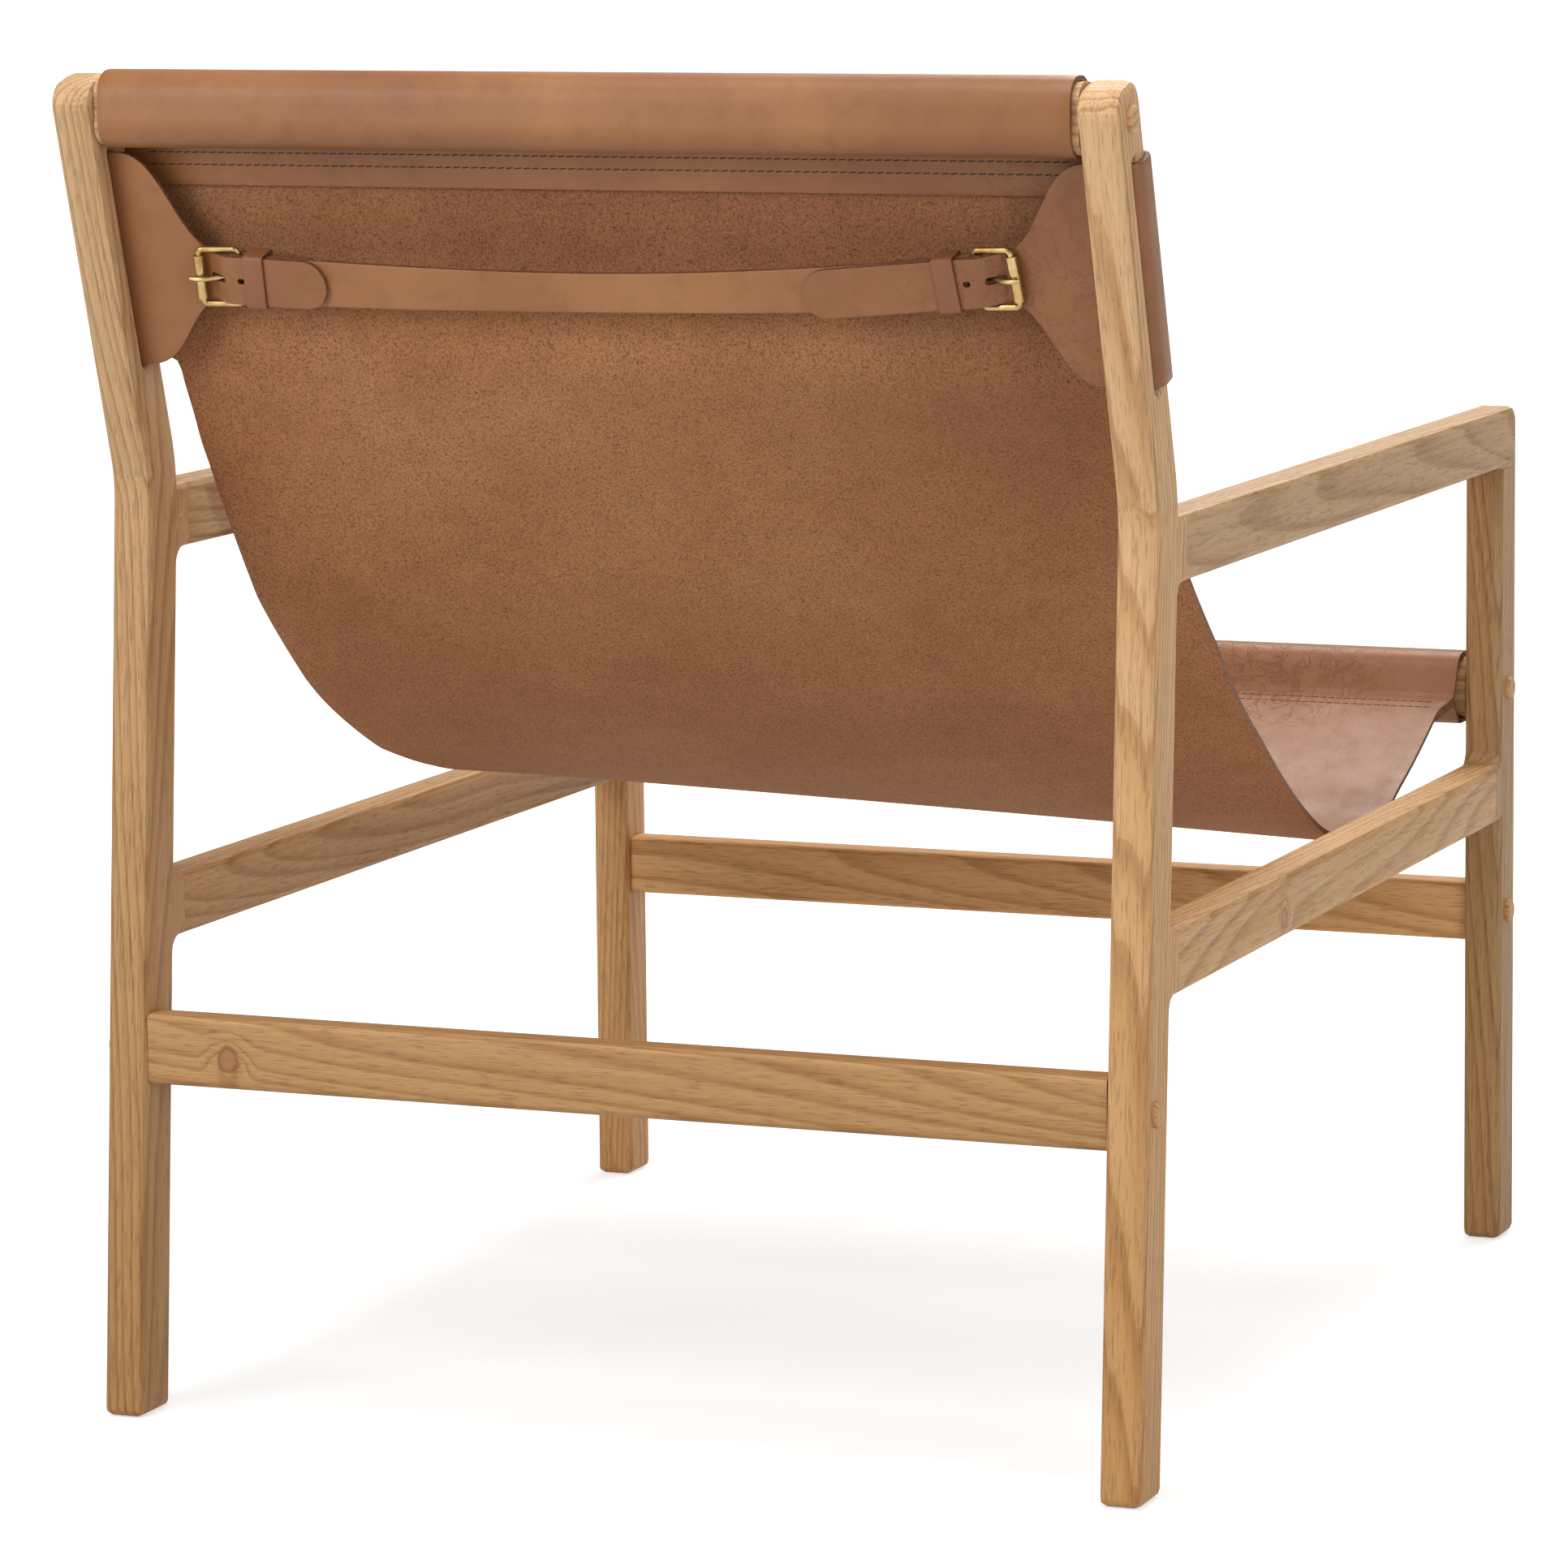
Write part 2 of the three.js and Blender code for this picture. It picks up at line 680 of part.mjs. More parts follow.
// The hollows of the two sleeves, which the bars fill
function sleeveHollows() {
  const stations = slingStations(slingSamples);
  const inside = { x: barDepth / 2 + leatherGap, y: barHeight / 2 + leatherGap };
  const innerRounding = barRounding + leatherGap;
  const backTunnel = [
    [backBar.x - inside.x, backBar.y + inside.y, innerRounding],
    [backBar.x + inside.x, backBar.y + inside.y, innerRounding],
    [backBar.x + inside.x, backBar.y - inside.y, innerRounding],
  ];
  const behindPanel = stations.map((station) => offsetFrom(station, -halfLeather));
  const floor = backBar.y - inside.y;
  const below = behindPanel.findIndex((point) => point.y < floor);
  const drop = behindPanel[below - 1].y - behindPanel[below].y;
  const tail = behindPanel[below].clone().lerp(behindPanel[below - 1], (floor - behindPanel[below].y) / drop);
  backTunnel.push([tail.x, tail.y, 0]);
  for (const point of behindPanel.slice(0, below).reverse()) backTunnel.push([point.x, point.y, 0]);
  const notch = offsetFrom(stations.at(-1), -halfLeather);
  const seatTunnel = [
    [notch.x - halfLeather, notch.y, 0],
    [seatBar.x + inside.x, seatBar.y - inside.y, innerRounding / 2],
    [seatBar.x - inside.x, seatBar.y - inside.y, innerRounding],
    [seatBar.x - inside.x, seatBar.y + inside.y, innerRounding],
    [seatBar.x + inside.x, seatBar.y + inside.y, innerRounding],
  ];
  return [backTunnel, seatTunnel].map((corners) => {
    const hollow = new THREE.ExtrudeGeometry(roundedOutline(corners), {
      depth: frameWidth,
      bevelEnabled: false,
      curveSegments: 4,
    });
    return solidOf(sideways(hollow.translate(0, 0, -halfWidth)));
  });
}

// The sewn sheet: its side view carried across the chair, wider at the sleeves, its edges skewed
function slingSheet() {
  const sheet = new THREE.ExtrudeGeometry(slingOutline(), {
    depth: 1,
    steps: slingSteps,
    bevelEnabled: false,
    curveSegments: 3,
  });
  const stations = slingStations(slingSamples * slingSteps);
  const places = sheet.attributes.position;
  const place = new THREE.Vector2();
  for (let index = 0; index < places.count; index += 1) {
    const acrossShare = 2 * places.getZ(index) - 1;
    place.set(places.getX(index), places.getY(index));
    const nearest = stations.reduce((best, station) =>
      station.point.distanceToSquared(place) < best.point.distanceToSquared(place) ? station : best,
    );
    const toBar = Math.min(place.distanceTo(backBar), place.distanceTo(seatBar)) - barHeight / 2;
    const sleeveShare = 1 - THREE.MathUtils.smoothstep(toBar, leatherThickness * 2, sleeveFade);
    const width = THREE.MathUtils.lerp(panelWidth, sleeveWidth, sleeveShare);
    place.addScaledVector(nearest.up, -nearest.skew * acrossShare);
    places.setXYZ(index, place.x, place.y, (width / 2) * acrossShare);
  }
  return cutAll(solidOf(sideways(sheet)), sleeveHollows());
}

// A strip of leather bent to a path: the path's points, offset to both sides
function ribbonOutline(points, thickness) {
  const sides = [[], []];
  points.forEach((point, index) => {
    const before = points[Math.max(index - 1, 0)];
    const after = points[Math.min(index + 1, points.length - 1)];
    const into = point.clone().sub(index ? before : after).normalize();
    if (!index) into.negate();
    const out = after.clone().sub(index < points.length - 1 ? point : before).normalize();
    const along = into.add(out).normalize();
    const square = new THREE.Vector2(-along.y, along.x);
    const reach = thickness / 2 / Math.max(square.dot(new THREE.Vector2(-out.y, out.x)), 0.5);
    sides[0].push(point.clone().addScaledVector(square, reach));
    sides[1].push(point.clone().addScaledVector(square, -reach));
  });
  return new THREE.Shape([...sides[0], ...sides[1].reverse()]);
}

// Path of a wing seen from above, out from the middle and rearwards: across the front of the post,
// round its outer edge, back in through the slot, flat to the buckle and up over the strap's end
function wingPath(side) {
  const lift = halfPost + leatherGap + halfLeather;
  const turn = edgeEase + leatherGap + halfLeather;
  const outside = halfWidth + leatherGap + halfLeather;
  const heel = heelReach[side];
  const billetLift = loopReach() + restGap + halfLeather;
  const path = new THREE.Path();
  path.moveTo(panelWidth / 2 - 2 * leatherThickness, -lift);
  path.lineTo(outside - turn, -lift);
  path.absarc(outside - turn, -lift + turn, turn, -Math.PI / 2, 0, false);
  path.lineTo(outside, -slotTurn);
  path.absarc(outside - slotTurn, -slotTurn, slotTurn, 0, Math.PI / 2, false);
  path.lineTo(heel + billetShares.level * buckleLength, 0);
  path.lineTo(heel + billetShares.sunk * buckleLength, -billetSink);
  path.lineTo(heel + billetShares.toe * buckleLength, -billetSink);
  path.lineTo(heel + billetShares.risen * buckleLength, billetLift);
  path.lineTo(heel - billetReach[side], billetLift);
  return path.getPoints(4);
}

function loopReach() {
  return buckleWire / 2 + loopGap + strapThickness;
}

// The flat cut of a wing, seen from behind: full height at the post, shoulders, then the billet
function flapOutline(side) {
  const rise = heelRise[side];
  const lean = tiltShares[side];
  const heel = heelReach[side];
  const lineAt = (across) => rise + (across - heel) * lean;
  const half = billetWidth / 2;
  const tip = heel - billetReach[side];
  const span = flapRoot - flapEnd;
  const outline = new THREE.Shape();
  outline.moveTo(frameWidth, wingBottom);
  outline.lineTo(frameWidth, wingTop);
  outline.lineTo(flapRoot, wingTop);
  for (const [edge, turn] of [[wingTop, 1], [wingBottom, -1]]) {
    const waist = lineAt(flapEnd) + turn * half;
    const settled = THREE.MathUtils.lerp(waist, edge, shoulderShares.settle);
    const lead = flapRoot - span * shoulderShares.lead;
    const dive = flapRoot - span * shoulderShares.dive;
    if (turn > 0) {
      outline.bezierCurveTo(lead, edge, dive, settled, flapEnd, waist);
      outline.lineTo(tip + billetTip, lineAt(tip + billetTip) + half);
      outline.quadraticCurveTo(tip, lineAt(tip) + half, tip, lineAt(tip));
      outline.quadraticCurveTo(tip, lineAt(tip) - half, tip + billetTip, lineAt(tip + billetTip) - half);
    } else {
      outline.lineTo(flapEnd, waist);
      outline.bezierCurveTo(dive, settled, lead, edge, flapRoot, edge);
    }
  }
  outline.closePath();
  return outline;
}

// One wing with its flap and billet, placed on the leaning post
function wing(side) {
  const height = wingTop - wingBottom;
  const bent = new THREE.ExtrudeGeometry(ribbonOutline(wingPath(side), leatherThickness), {
    depth: height,
    bevelEnabled: false,
  });
  bent.rotateX(Math.PI / 2);
  bent.translate(0, wingTop, 0);
  const cutter = new THREE.ExtrudeGeometry(flapOutline(side), {
    depth: 2 * halfWidth,
    bevelEnabled: false,
    curveSegments: 6,
  });
  cutter.translate(0, 0, -halfWidth);
  const hole = rodSolid(billetHoleWidth, overrun, "z", [0, 0, 0], 10);
  const ends = Object.values(holeShares).map((share) => {
    const reach = share * buckleLength;
    return hole.translate([heelReach[side] + reach, lineRise(side, reach), 0]);
  });
  const slot = wasm.Manifold.hull(ends);
  const flat = solidOf(bent).intersect(solidOf(cutter)).subtract(slot);
  const facing = side === "left" ? flat.mirror([1, 0, 0]) : flat;
  return facing.transform(backViewMatrix().elements);
}

function lineRise(side, reach) {
  return heelRise[side] + reach * tiltShares[side];
}

// The view from behind: across to the chair's right, up the leaning post, and out towards the rear
function backViewMatrix() {
  return new THREE.Matrix4()
    .makeBasis(
      new THREE.Vector3(-1, 0, 0),
      new THREE.Vector3(0, Math.sin(upperLean), Math.cos(upperLean)),
      new THREE.Vector3(0, Math.cos(upperLean), -Math.sin(upperLean)),
    )
    .setPosition(0, kinkSetback, kinkHeight);
}

function sling() {
  return slingSheet().add(wing("left")).add(wing("right"));
}

// The strap's middle line seen from behind, sagging between the two heel bars
function strapLine() {
  const from = new THREE.Vector2(-heelReach.left, heelRise.left);
  const to = new THREE.Vector2(heelReach.right, heelRise.right);
  const third = (to.x - from.x) / 3;
  return new THREE.CubicBezierCurve(
    from,
    new THREE.Vector2(from.x + third, from.y - third * tiltShares.left),
    new THREE.Vector2(to.x - third, to.y - third * tiltShares.right),
    to,
  );
}

// The strap seen from above: each end goes round a heel bar and lies back under the strap
function strapOutline() {
  const outer = loopReach();
  const inner = outer - strapThickness;
  const left = -heelReach.left;
  const right = heelReach.right;
  const under = inner - strapThickness;
  const outline = new THREE.Shape();
  outline.moveTo(right, outer);
  outline.lineTo(left, outer);
  outline.absarc(left, 0, outer, Math.PI / 2, (3 * Math.PI) / 2, false);
  outline.lineTo(left + chapeMerge, under);
  outline.lineTo(left + chapeLength, under);
  outline.lineTo(left + chapeLength, inner);
  outline.lineTo(right - chapeLength, inner);
  outline.lineTo(right - chapeLength, under);
  outline.lineTo(right - chapeMerge, under);
  outline.lineTo(right, -outer);
  outline.absarc(right, 0, outer, -Math.PI / 2, Math.PI / 2, false);
  for (const [heel, turn] of [[left, 1], [right, -1]]) {
    const bore = new THREE.Path();
    bore.moveTo(heel + turn * (chapeMerge - strapThickness), inner - skin);
    bore.lineTo(heel, inner);
    bore.absarc(heel, 0, inner, Math.PI / 2, -Math.PI / 2, turn < 0);
    outline.holes.push(bore);
  }
  return outline;
}

// The strap cut from a side that narrows to a waist, and hung along its sagging line
function backStrap() {
  const flat = new THREE.ExtrudeGeometry(strapOutline(), {
    depth: strapEndWidth,
    bevelEnabled: false,
    curveSegments: 8,
  });
  flat.translate(0, 0, -strapEndWidth / 2);
  const line = strapLine();
  const span = heelReach.left + heelReach.right;
  const hung = solidOf(flat.rotateX(Math.PI / 2)).refineToLength(strapStep).warp((place) => {
    const share = THREE.MathUtils.clamp((place[0] + heelReach.left) / span, 0, 1);
    const point = line.getPoint(share);
    const along = line.getTangent(share);
    const beyond = place[0] - THREE.MathUtils.lerp(-heelReach.left, heelReach.right, share);
    const narrowing = (1 - strapWaistWidth / strapEndWidth) * Math.sin(Math.PI * share) ** 2;
    const upward = place[1] * (1 - narrowing);
    place[0] = point.x + along.x * beyond - along.y * upward;
    place[1] = point.y + along.y * beyond + along.x * upward;
  });
  return cutAll(hung, [prongSlot("left"), prongSlot("right")]);
}

function prongSlot(side) {
  const reach = loopReach() + overrun;
  const start = -loopReach();
  const slot = new THREE.BoxGeometry(reach - start, prongSlotWidth, 2 * overrun);
  slot.translate((reach + start) / 2, 0, 0);
  return solidOf(slot.applyMatrix4(buckleMatrix(side)));
}

// A buckle's own frame, in the view from behind: out along the strap from the middle of its heel bar
function buckleMatrix(side) {
  const left = side === "left";
  const tilt = left ? Math.PI - Math.atan(tiltShares.left) : Math.atan(tiltShares.right);
  const across = left ? -heelReach.left : heelReach.right;
  return new THREE.Matrix4().makeRotationZ(tilt).setPosition(across, heelRise[side], 0);
}

// Buckle frame: one bent and brazed wire, its toe lifted so that the roller clears the billet
function buckleFrame() {
  const rings = 16;
  const wire = buckleWire / 2;
  const frame = new THREE.TorusGeometry(buckleCorner, wire, 10, rings).rotateZ(Math.PI / rings);
  const slope = Math.hypot(buckleLength, toeLift);
  const stretchAlong = slope / 2 - buckleCorner;
  const stretchAcross = (buckleWidth - buckleWire) / 2 - buckleCorner;
  const places = frame.attributes.position;
  for (let index = 0; index < places.count; index += 1) {
    const along = places.getX(index) + Math.sign(places.getX(index)) * stretchAlong + slope / 2;
    const across = places.getY(index) + Math.sign(places.getY(index)) * stretchAcross;
    places.setXYZ(index, along, across, places.getZ(index));
  }
  return solidOf(frame.rotateY(-Math.atan2(toeLift, buckleLength)));
}

function roller() {
  const bore = buckleWire / 2 + rollerBoreGap;
  const outer = rollerDiameter / 2;
  const half = rollerLength / 2;
  const outline = [
    new THREE.Vector2(bore, -half),
    new THREE.Vector2(outer, -half),
    new THREE.Vector2(outer, half),
    new THREE.Vector2(bore, half),
    new THREE.Vector2(bore, -half),
  ];
  return solidOf(new THREE.LatheGeometry(outline, 20));
}

// Prong: an eye bent round the heel bar and a tongue that rises through the billet to the roller
function prong() {
  const bore = buckleWire / 2 + loopGap;
  const half = prongEyeWidth / 2;
  const eyeOutline = [
    new THREE.Vector2(bore, -half),
    new THREE.Vector2(bore + prongEyeWall, -half),
    new THREE.Vector2(bore + prongEyeWall, half),
    new THREE.Vector2(bore, half),
    new THREE.Vector2(bore, -half),
  ];
  const eye = solidOf(new THREE.LatheGeometry(eyeOutline, 16));
  const rest = toeLift + rollerDiameter / 2 + restGap + prongDiameter / 2;
  const tongueShares = [
    [0.13, 0.02],
    [0.36, 0.16],
    [0.56, 0.48],
    [0.78, 0.88],
    [1, 1],
  ];
  const points = tongueShares.map(
    ([along, lift]) => new THREE.Vector3(along * buckleLength, 0, lift * rest),
  );
  points.push(new THREE.Vector3(buckleLength + prongOverhang, 0, rest - restGap));
  const section = new THREE.Shape();
  section.absarc(0, 0, prongDiameter / 2, 0, 2 * Math.PI, false);
  const tongue = new THREE.ExtrudeGeometry(section, {
    extrudePath: new THREE.CatmullRomCurve3(points),
    steps: 14,
    curveSegments: 5,
  });
  return eye.add(solidOf(tongue));
}

// Keeper: a leather band round the strap, its chape and the billet
function keeper(side) {
  const top = loopReach() + restGap + leatherThickness + keeperGap;
  const bottom = -loopReach() - keeperGap;
  const halfInside = strapEndWidth / 2 + 2 * keeperGap;
  const band = roundedOutline(
    rectangle(
      -halfInside - keeperWall,
      bottom - keeperWall,
      halfInside + keeperWall,
      top + keeperWall,
      keeperRounding,
    ),
  );
  const bore = rectangle(-halfInside, bottom, halfInside, top, keeperRounding - keeperWall);
  band.holes.push(roundedOutline(bore, new THREE.Path()));
  const loop = new THREE.ExtrudeGeometry(band, {
    depth: keeperWidth,
    bevelEnabled: false,
    curveSegments: 4,
  });
  loop.applyMatrix4(
    new THREE.Matrix4().makeBasis(
      new THREE.Vector3(0, 1, 0),
      new THREE.Vector3(0, 0, 1),
      new THREE.Vector3(1, 0, 0),
    ),
  );
  loop.translate(-keeperSetback[side] - keeperWidth, 0, 0);
  return solidOf(loop);
}

// Assembly
const chair = new THREE.Group();
chair.position.y = -rearReach / 2;

function place(parent, name, solid, material, position = [0, 0, 0]) {
  const mesh = new THREE.Mesh(geometryOf(solid), material);
  mesh.name = name;
  mesh.position.set(...position);
  parent.add(mesh);
  return mesh;
}

// The view from behind as a group, and a buckle's own frame inside it
const backView = new THREE.Group();
backView.applyMatrix4(backViewMatrix());
chair.add(backView);

place(chair, "rear_stretcher", crossMember(
  "rear_stretcher", stretcherDepth, rearStretcherHeight, stretcherEase, 3), teak());
place(chair, "front_stretcher", crossMember(
  "front_stretcher", stretcherDepth, frontStretcherHeight, stretcherEase, 3), teak());
place(chair, "back_bar", crossMember("back_bar", barDepth, barHeight, barRounding, 4), teak());
place(chair, "seat_bar", crossMember("seat_bar", barDepth, barHeight, barRounding, 4), teak());

for (const [name, side] of [["left", 1], ["right", -1]]) {
  const middle = [side * (halfWidth - timberThickness / 2), 0, 0];
  place(chair, `rear_leg_${name}`, rearLeg(side), teak(), middle);
  place(chair, `front_leg_${name}`, frontLeg(side), teak(), middle);
  place(chair, `side_rail_${name}`, sideRail(), teak(), middle);
  place(chair, `arm_${name}`, arm(side), teak(), middle);
  for (const [end, depth] of [["front", frontLegDepth / 2], ["rear", armRearJoint + pinInset]]) {
    const across = side * (innerFace - pinProud + pinLength / 2);
    place(chair, `arm_pin_${end}_${name}`, armPin(), teak(), [across, depth, armMiddle]);
  }
  for (const [line, [depth, height]] of Object.entries(boltLines)) {
    const seat = [side * (halfWidth - plugDepth - boreGap), depth, height];
    const nut = [side * (innerFace - jointGap - nutInset), depth, height];
    const screw = place(chair, `bolt_${line}_${name}`, bolt(), zincSteel(), seat);
    const button = place(chair, `plug_${line}_${name}`, plug(), teak(), [side * halfWidth, depth, height]);
    if (side > 0) screw.rotation.z = Math.PI;
    else button.rotation.z = Math.PI;
    place(chair, `nut_${line}_${name}`, barrelNut(), zincSteel(), nut);
  }
  const buckle = new THREE.Group();
  buckle.applyMatrix4(buckleMatrix(name));
  backView.add(buckle);
  place(buckle, `buckle_frame_${name}`, buckleFrame(), agedBrass());
  place(buckle, `roller_${name}`, roller(), agedBrass(), [buckleLength, 0, toeLift]);
  place(buckle, `prong_${name}`, prong(), agedBrass());
  place(buckle, `keeper_${name}`, keeper(name), leather());
}

place(chair, "sling", sling(), leather());
place(backView, "back_strap", backStrap(), leather());

export default chair;
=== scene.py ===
import math

import bpy
from mathutils import Matrix, Vector


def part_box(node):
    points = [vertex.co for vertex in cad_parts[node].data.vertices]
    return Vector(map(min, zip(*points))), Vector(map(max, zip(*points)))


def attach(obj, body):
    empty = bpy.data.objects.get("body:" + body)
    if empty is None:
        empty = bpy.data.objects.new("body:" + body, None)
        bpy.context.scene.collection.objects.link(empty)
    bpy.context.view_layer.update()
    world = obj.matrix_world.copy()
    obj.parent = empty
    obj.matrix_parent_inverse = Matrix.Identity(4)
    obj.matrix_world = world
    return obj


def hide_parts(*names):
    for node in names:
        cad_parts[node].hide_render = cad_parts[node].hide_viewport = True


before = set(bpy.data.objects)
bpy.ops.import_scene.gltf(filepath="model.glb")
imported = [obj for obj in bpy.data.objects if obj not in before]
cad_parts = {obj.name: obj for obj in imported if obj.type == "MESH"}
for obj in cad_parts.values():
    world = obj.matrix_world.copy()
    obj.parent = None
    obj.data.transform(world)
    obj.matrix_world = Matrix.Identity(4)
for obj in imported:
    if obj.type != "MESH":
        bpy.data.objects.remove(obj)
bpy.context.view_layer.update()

# The camera stands behind the chair's right rear leg and looks slightly down on it, far enough
# away that the legs stay nearly upright. It was fitted to the legs, rails, arms and stretchers.
camera_place = Vector((-1.4711, 3.7428, 0.9447))
camera_heading = 0.3823
camera_dip = 0.1256
camera_roll = 0.0096
looking = Vector((
    math.sin(camera_heading) * math.cos(camera_dip),
    -math.cos(camera_heading) * math.cos(camera_dip),
    -math.sin(camera_dip),
))
level_right = looking.cross(Vector((0, 0, 1))).normalized()
level_down = looking.cross(level_right)
right = math.cos(camera_roll) * level_right + math.sin(camera_roll) * level_down
down = looking.cross(right)
camera_data = bpy.data.cameras.new("camera")
camera_data.lens = 149.96
camera_data.sensor_width = 36
camera_data.shift_y = -0.0963
camera = bpy.data.objects.new("camera", camera_data)
turn = Matrix((right, -down, -looking)).transposed().to_4x4()
camera.matrix_world = Matrix.Translation(camera_place) @ turn
bpy.context.collection.objects.link(camera)
bpy.context.scene.camera = camera


# The frame: solid teak, planed, eased along its edges by a router and rubbed with a light oil.
# Teak is straight grained, honey brown, with darker growth lines, fine open pores and small knots.
def colour(code):
    """A colour written as an sRGB hex value, as the linear values that a shader takes."""
    shares = [int(code[place : place + 2], 16) / 255 for place in (1, 3, 5)]
    linear = [
        share / 12.92 if share <= 0.04045 else ((share + 0.055) / 1.055) ** 2.4
        for share in shares
    ]
    return (*linear, 1)


def fill(tree, target, inputs):
    """Gives a node's inputs their plain values or other nodes' output sockets."""
    for name, value in inputs.items():
        if isinstance(value, bpy.types.NodeSocket):
            tree.links.new(value, target.inputs[name])
        else:
            target.inputs[name].default_value = value


def node(tree, kind, inputs=None, **settings):
    made = tree.nodes.new(kind)
    for name, value in settings.items():
        setattr(made, name, value)
    fill(tree, made, inputs or {})
    return made


def ramp(tree, factor, *stops):
    """A colour ramp, each stop of which is a place with a hex value or with a linear grey."""
    made = node(tree, "ShaderNodeValToRGB", {"Fac": factor})
    elements = made.color_ramp.elements
    while len(elements) < len(stops):
        elements.new(0.5)
    for element, (place, shade) in zip(elements, stops):
        element.position = place
        element.color = colour(shade) if isinstance(shade, str) else (shade, shade, shade, 1)
    return made.outputs["Color"]


def maths(tree, operation, *values):
    return node(tree, "ShaderNodeMath", dict(enumerate(values)), operation=operation).outputs[0]


def vector_maths(tree, operation, *values, result="Value"):
    made = node(tree, "ShaderNodeVectorMath", dict(enumerate(values)), operation=operation)
    return made.outputs[result]


def noise(tree, place, scale, detail, **more):
    inputs = {"Vector": place, "Scale": scale, "Detail": detail, **more}
    return node(tree, "ShaderNodeTexNoise", inputs).outputs["Fac"]


def fade(tree, value, start, end, at_start, at_end, kind="LINEAR"):
    """A value moved from one range to another and held at the ends."""
    return node(tree, "ShaderNodeMapRange", {
        "Value": value, "From Min": start, "From Max": end, "To Min": at_start, "To Max": at_end,
    }, interpolation_type=kind).outputs["Result"]


def mix(tree, factor, first, second, blend="MIX"):
    return node(tree, "ShaderNodeMix", {"Factor": factor, "A": first, "B": second},
                data_type="RGBA", blend_type=blend).outputs[2]


def bump(tree, height, strength, distance, **more):
    inputs = {"Height": height, "Strength": strength, "Distance": distance, **more}
    return node(tree, "ShaderNodeBump", inputs).outputs["Normal"]


def material(name):
    """A new material: itself, its node tree, its shader and the place on the object."""
    made = bpy.data.materials.new(name)
    made.use_nodes = True
    tree = made.node_tree
    tree.nodes.clear()
    shader = node(tree, "ShaderNodeBsdfPrincipled")
    node(tree, "ShaderNodeOutputMaterial", {"Surface": shader.outputs["BSDF"]})
    return made, tree, shader, node(tree, "ShaderNodeTexCoord").outputs["Object"]


def dress(piece, *finishes):
    piece.data.materials.clear()
    for finish in finishes:
        piece.data.materials.append(finish)


bend_height = 0.56
lean_above_bend = 0.3
lean_below_bend = -0.067
rings_per_metre = 230.0


def unbent(tree, place):
    """The place as if the rear legs were straight, so that their grain follows the bend."""
    height = node(tree, "ShaderNodeSeparateXYZ", {0: place}).outputs["Z"]
    leans = [
        maths(tree, "MULTIPLY_ADD", height, slope, -slope * bend_height)
        for slope in (lean_above_bend, lean_below_bend)
    ]
    lean_back = maths(tree, "MAXIMUM", *leans)
    return vector_maths(tree, "MULTIPLY_ADD", lean_back, (0, -1, 0), place, result="Vector")


def squeezed(tree, place, axis, share):
    """The place with its length along the grain made smaller, so that patterns are drawn out."""
    scale = [1.0, 1.0, 1.0]
    scale[axis] = share
    return node(tree, "ShaderNodeMapping", {"Vector": place, "Scale": scale}).outputs["Vector"]


def growth_rings(tree, place, axis, pith, knots):
    """The rings' colour, and for each knot the distance from it as a share of its reach."""
    across = [1.0, 1.0, 1.0]
    across[axis] = 0.0
    from_pith = node(tree, "ShaderNodeMapping", {
        "Vector": place,
        "Location": [-step * keep for step, keep in zip(pith, across)],
        "Scale": across,
    })
    radius = vector_maths(tree, "LENGTH", from_pith.outputs["Vector"])
    # The trunk tapers and wanders a little, which draws long arches where a face is sawn flat
    taper = [0.0, 0.0, 0.0]
    taper[axis] = 0.04
    wander = noise(tree, squeezed(tree, place, axis, 0.35), 6.0, 1.0)
    depth = maths(tree, "MULTIPLY_ADD", wander, 0.024, radius)
    depth = maths(tree, "ADD", depth, vector_maths(tree, "DOT_PRODUCT", place, taper))
    # A knot is a little out of round, and the rings bulge 9 mm round it
    knot_edge = noise(tree, place, 90.0, 2.0)
    knot_shares = []
    for spot, reach in knots:
        away = vector_maths(tree, "DISTANCE", place, spot)
        uneven = maths(tree, "MULTIPLY_ADD", knot_edge, 0.35 * reach, away)
        bulge = fade(tree, uneven, 0.0, 1.5 * reach, 0.009, 0.0, "SMOOTHERSTEP")
        depth = maths(tree, "ADD", depth, bulge)
        knot_shares.append(maths(tree, "MULTIPLY", uneven, 1 / reach))
    # The years are uneven; each starts pale, darkens slowly and ends in a thin brown line
    uneven_years = node(tree, "ShaderNodeTexNoise", {"W": depth, "Scale": 110.0, "Detail": 1.0},
                        noise_dimensions="1D").outputs["Fac"]
    year = maths(tree, "FRACT", maths(tree, "MULTIPLY_ADD", depth, rings_per_metre, uneven_years))
    rings = ramp(tree, year, (0.0, "#cfa677"), (0.12, "#dab58a"), (0.6, "#cfa575"),
                 (0.88, "#a4774a"), (1.0, "#b58a5a"))
    return rings, knot_shares


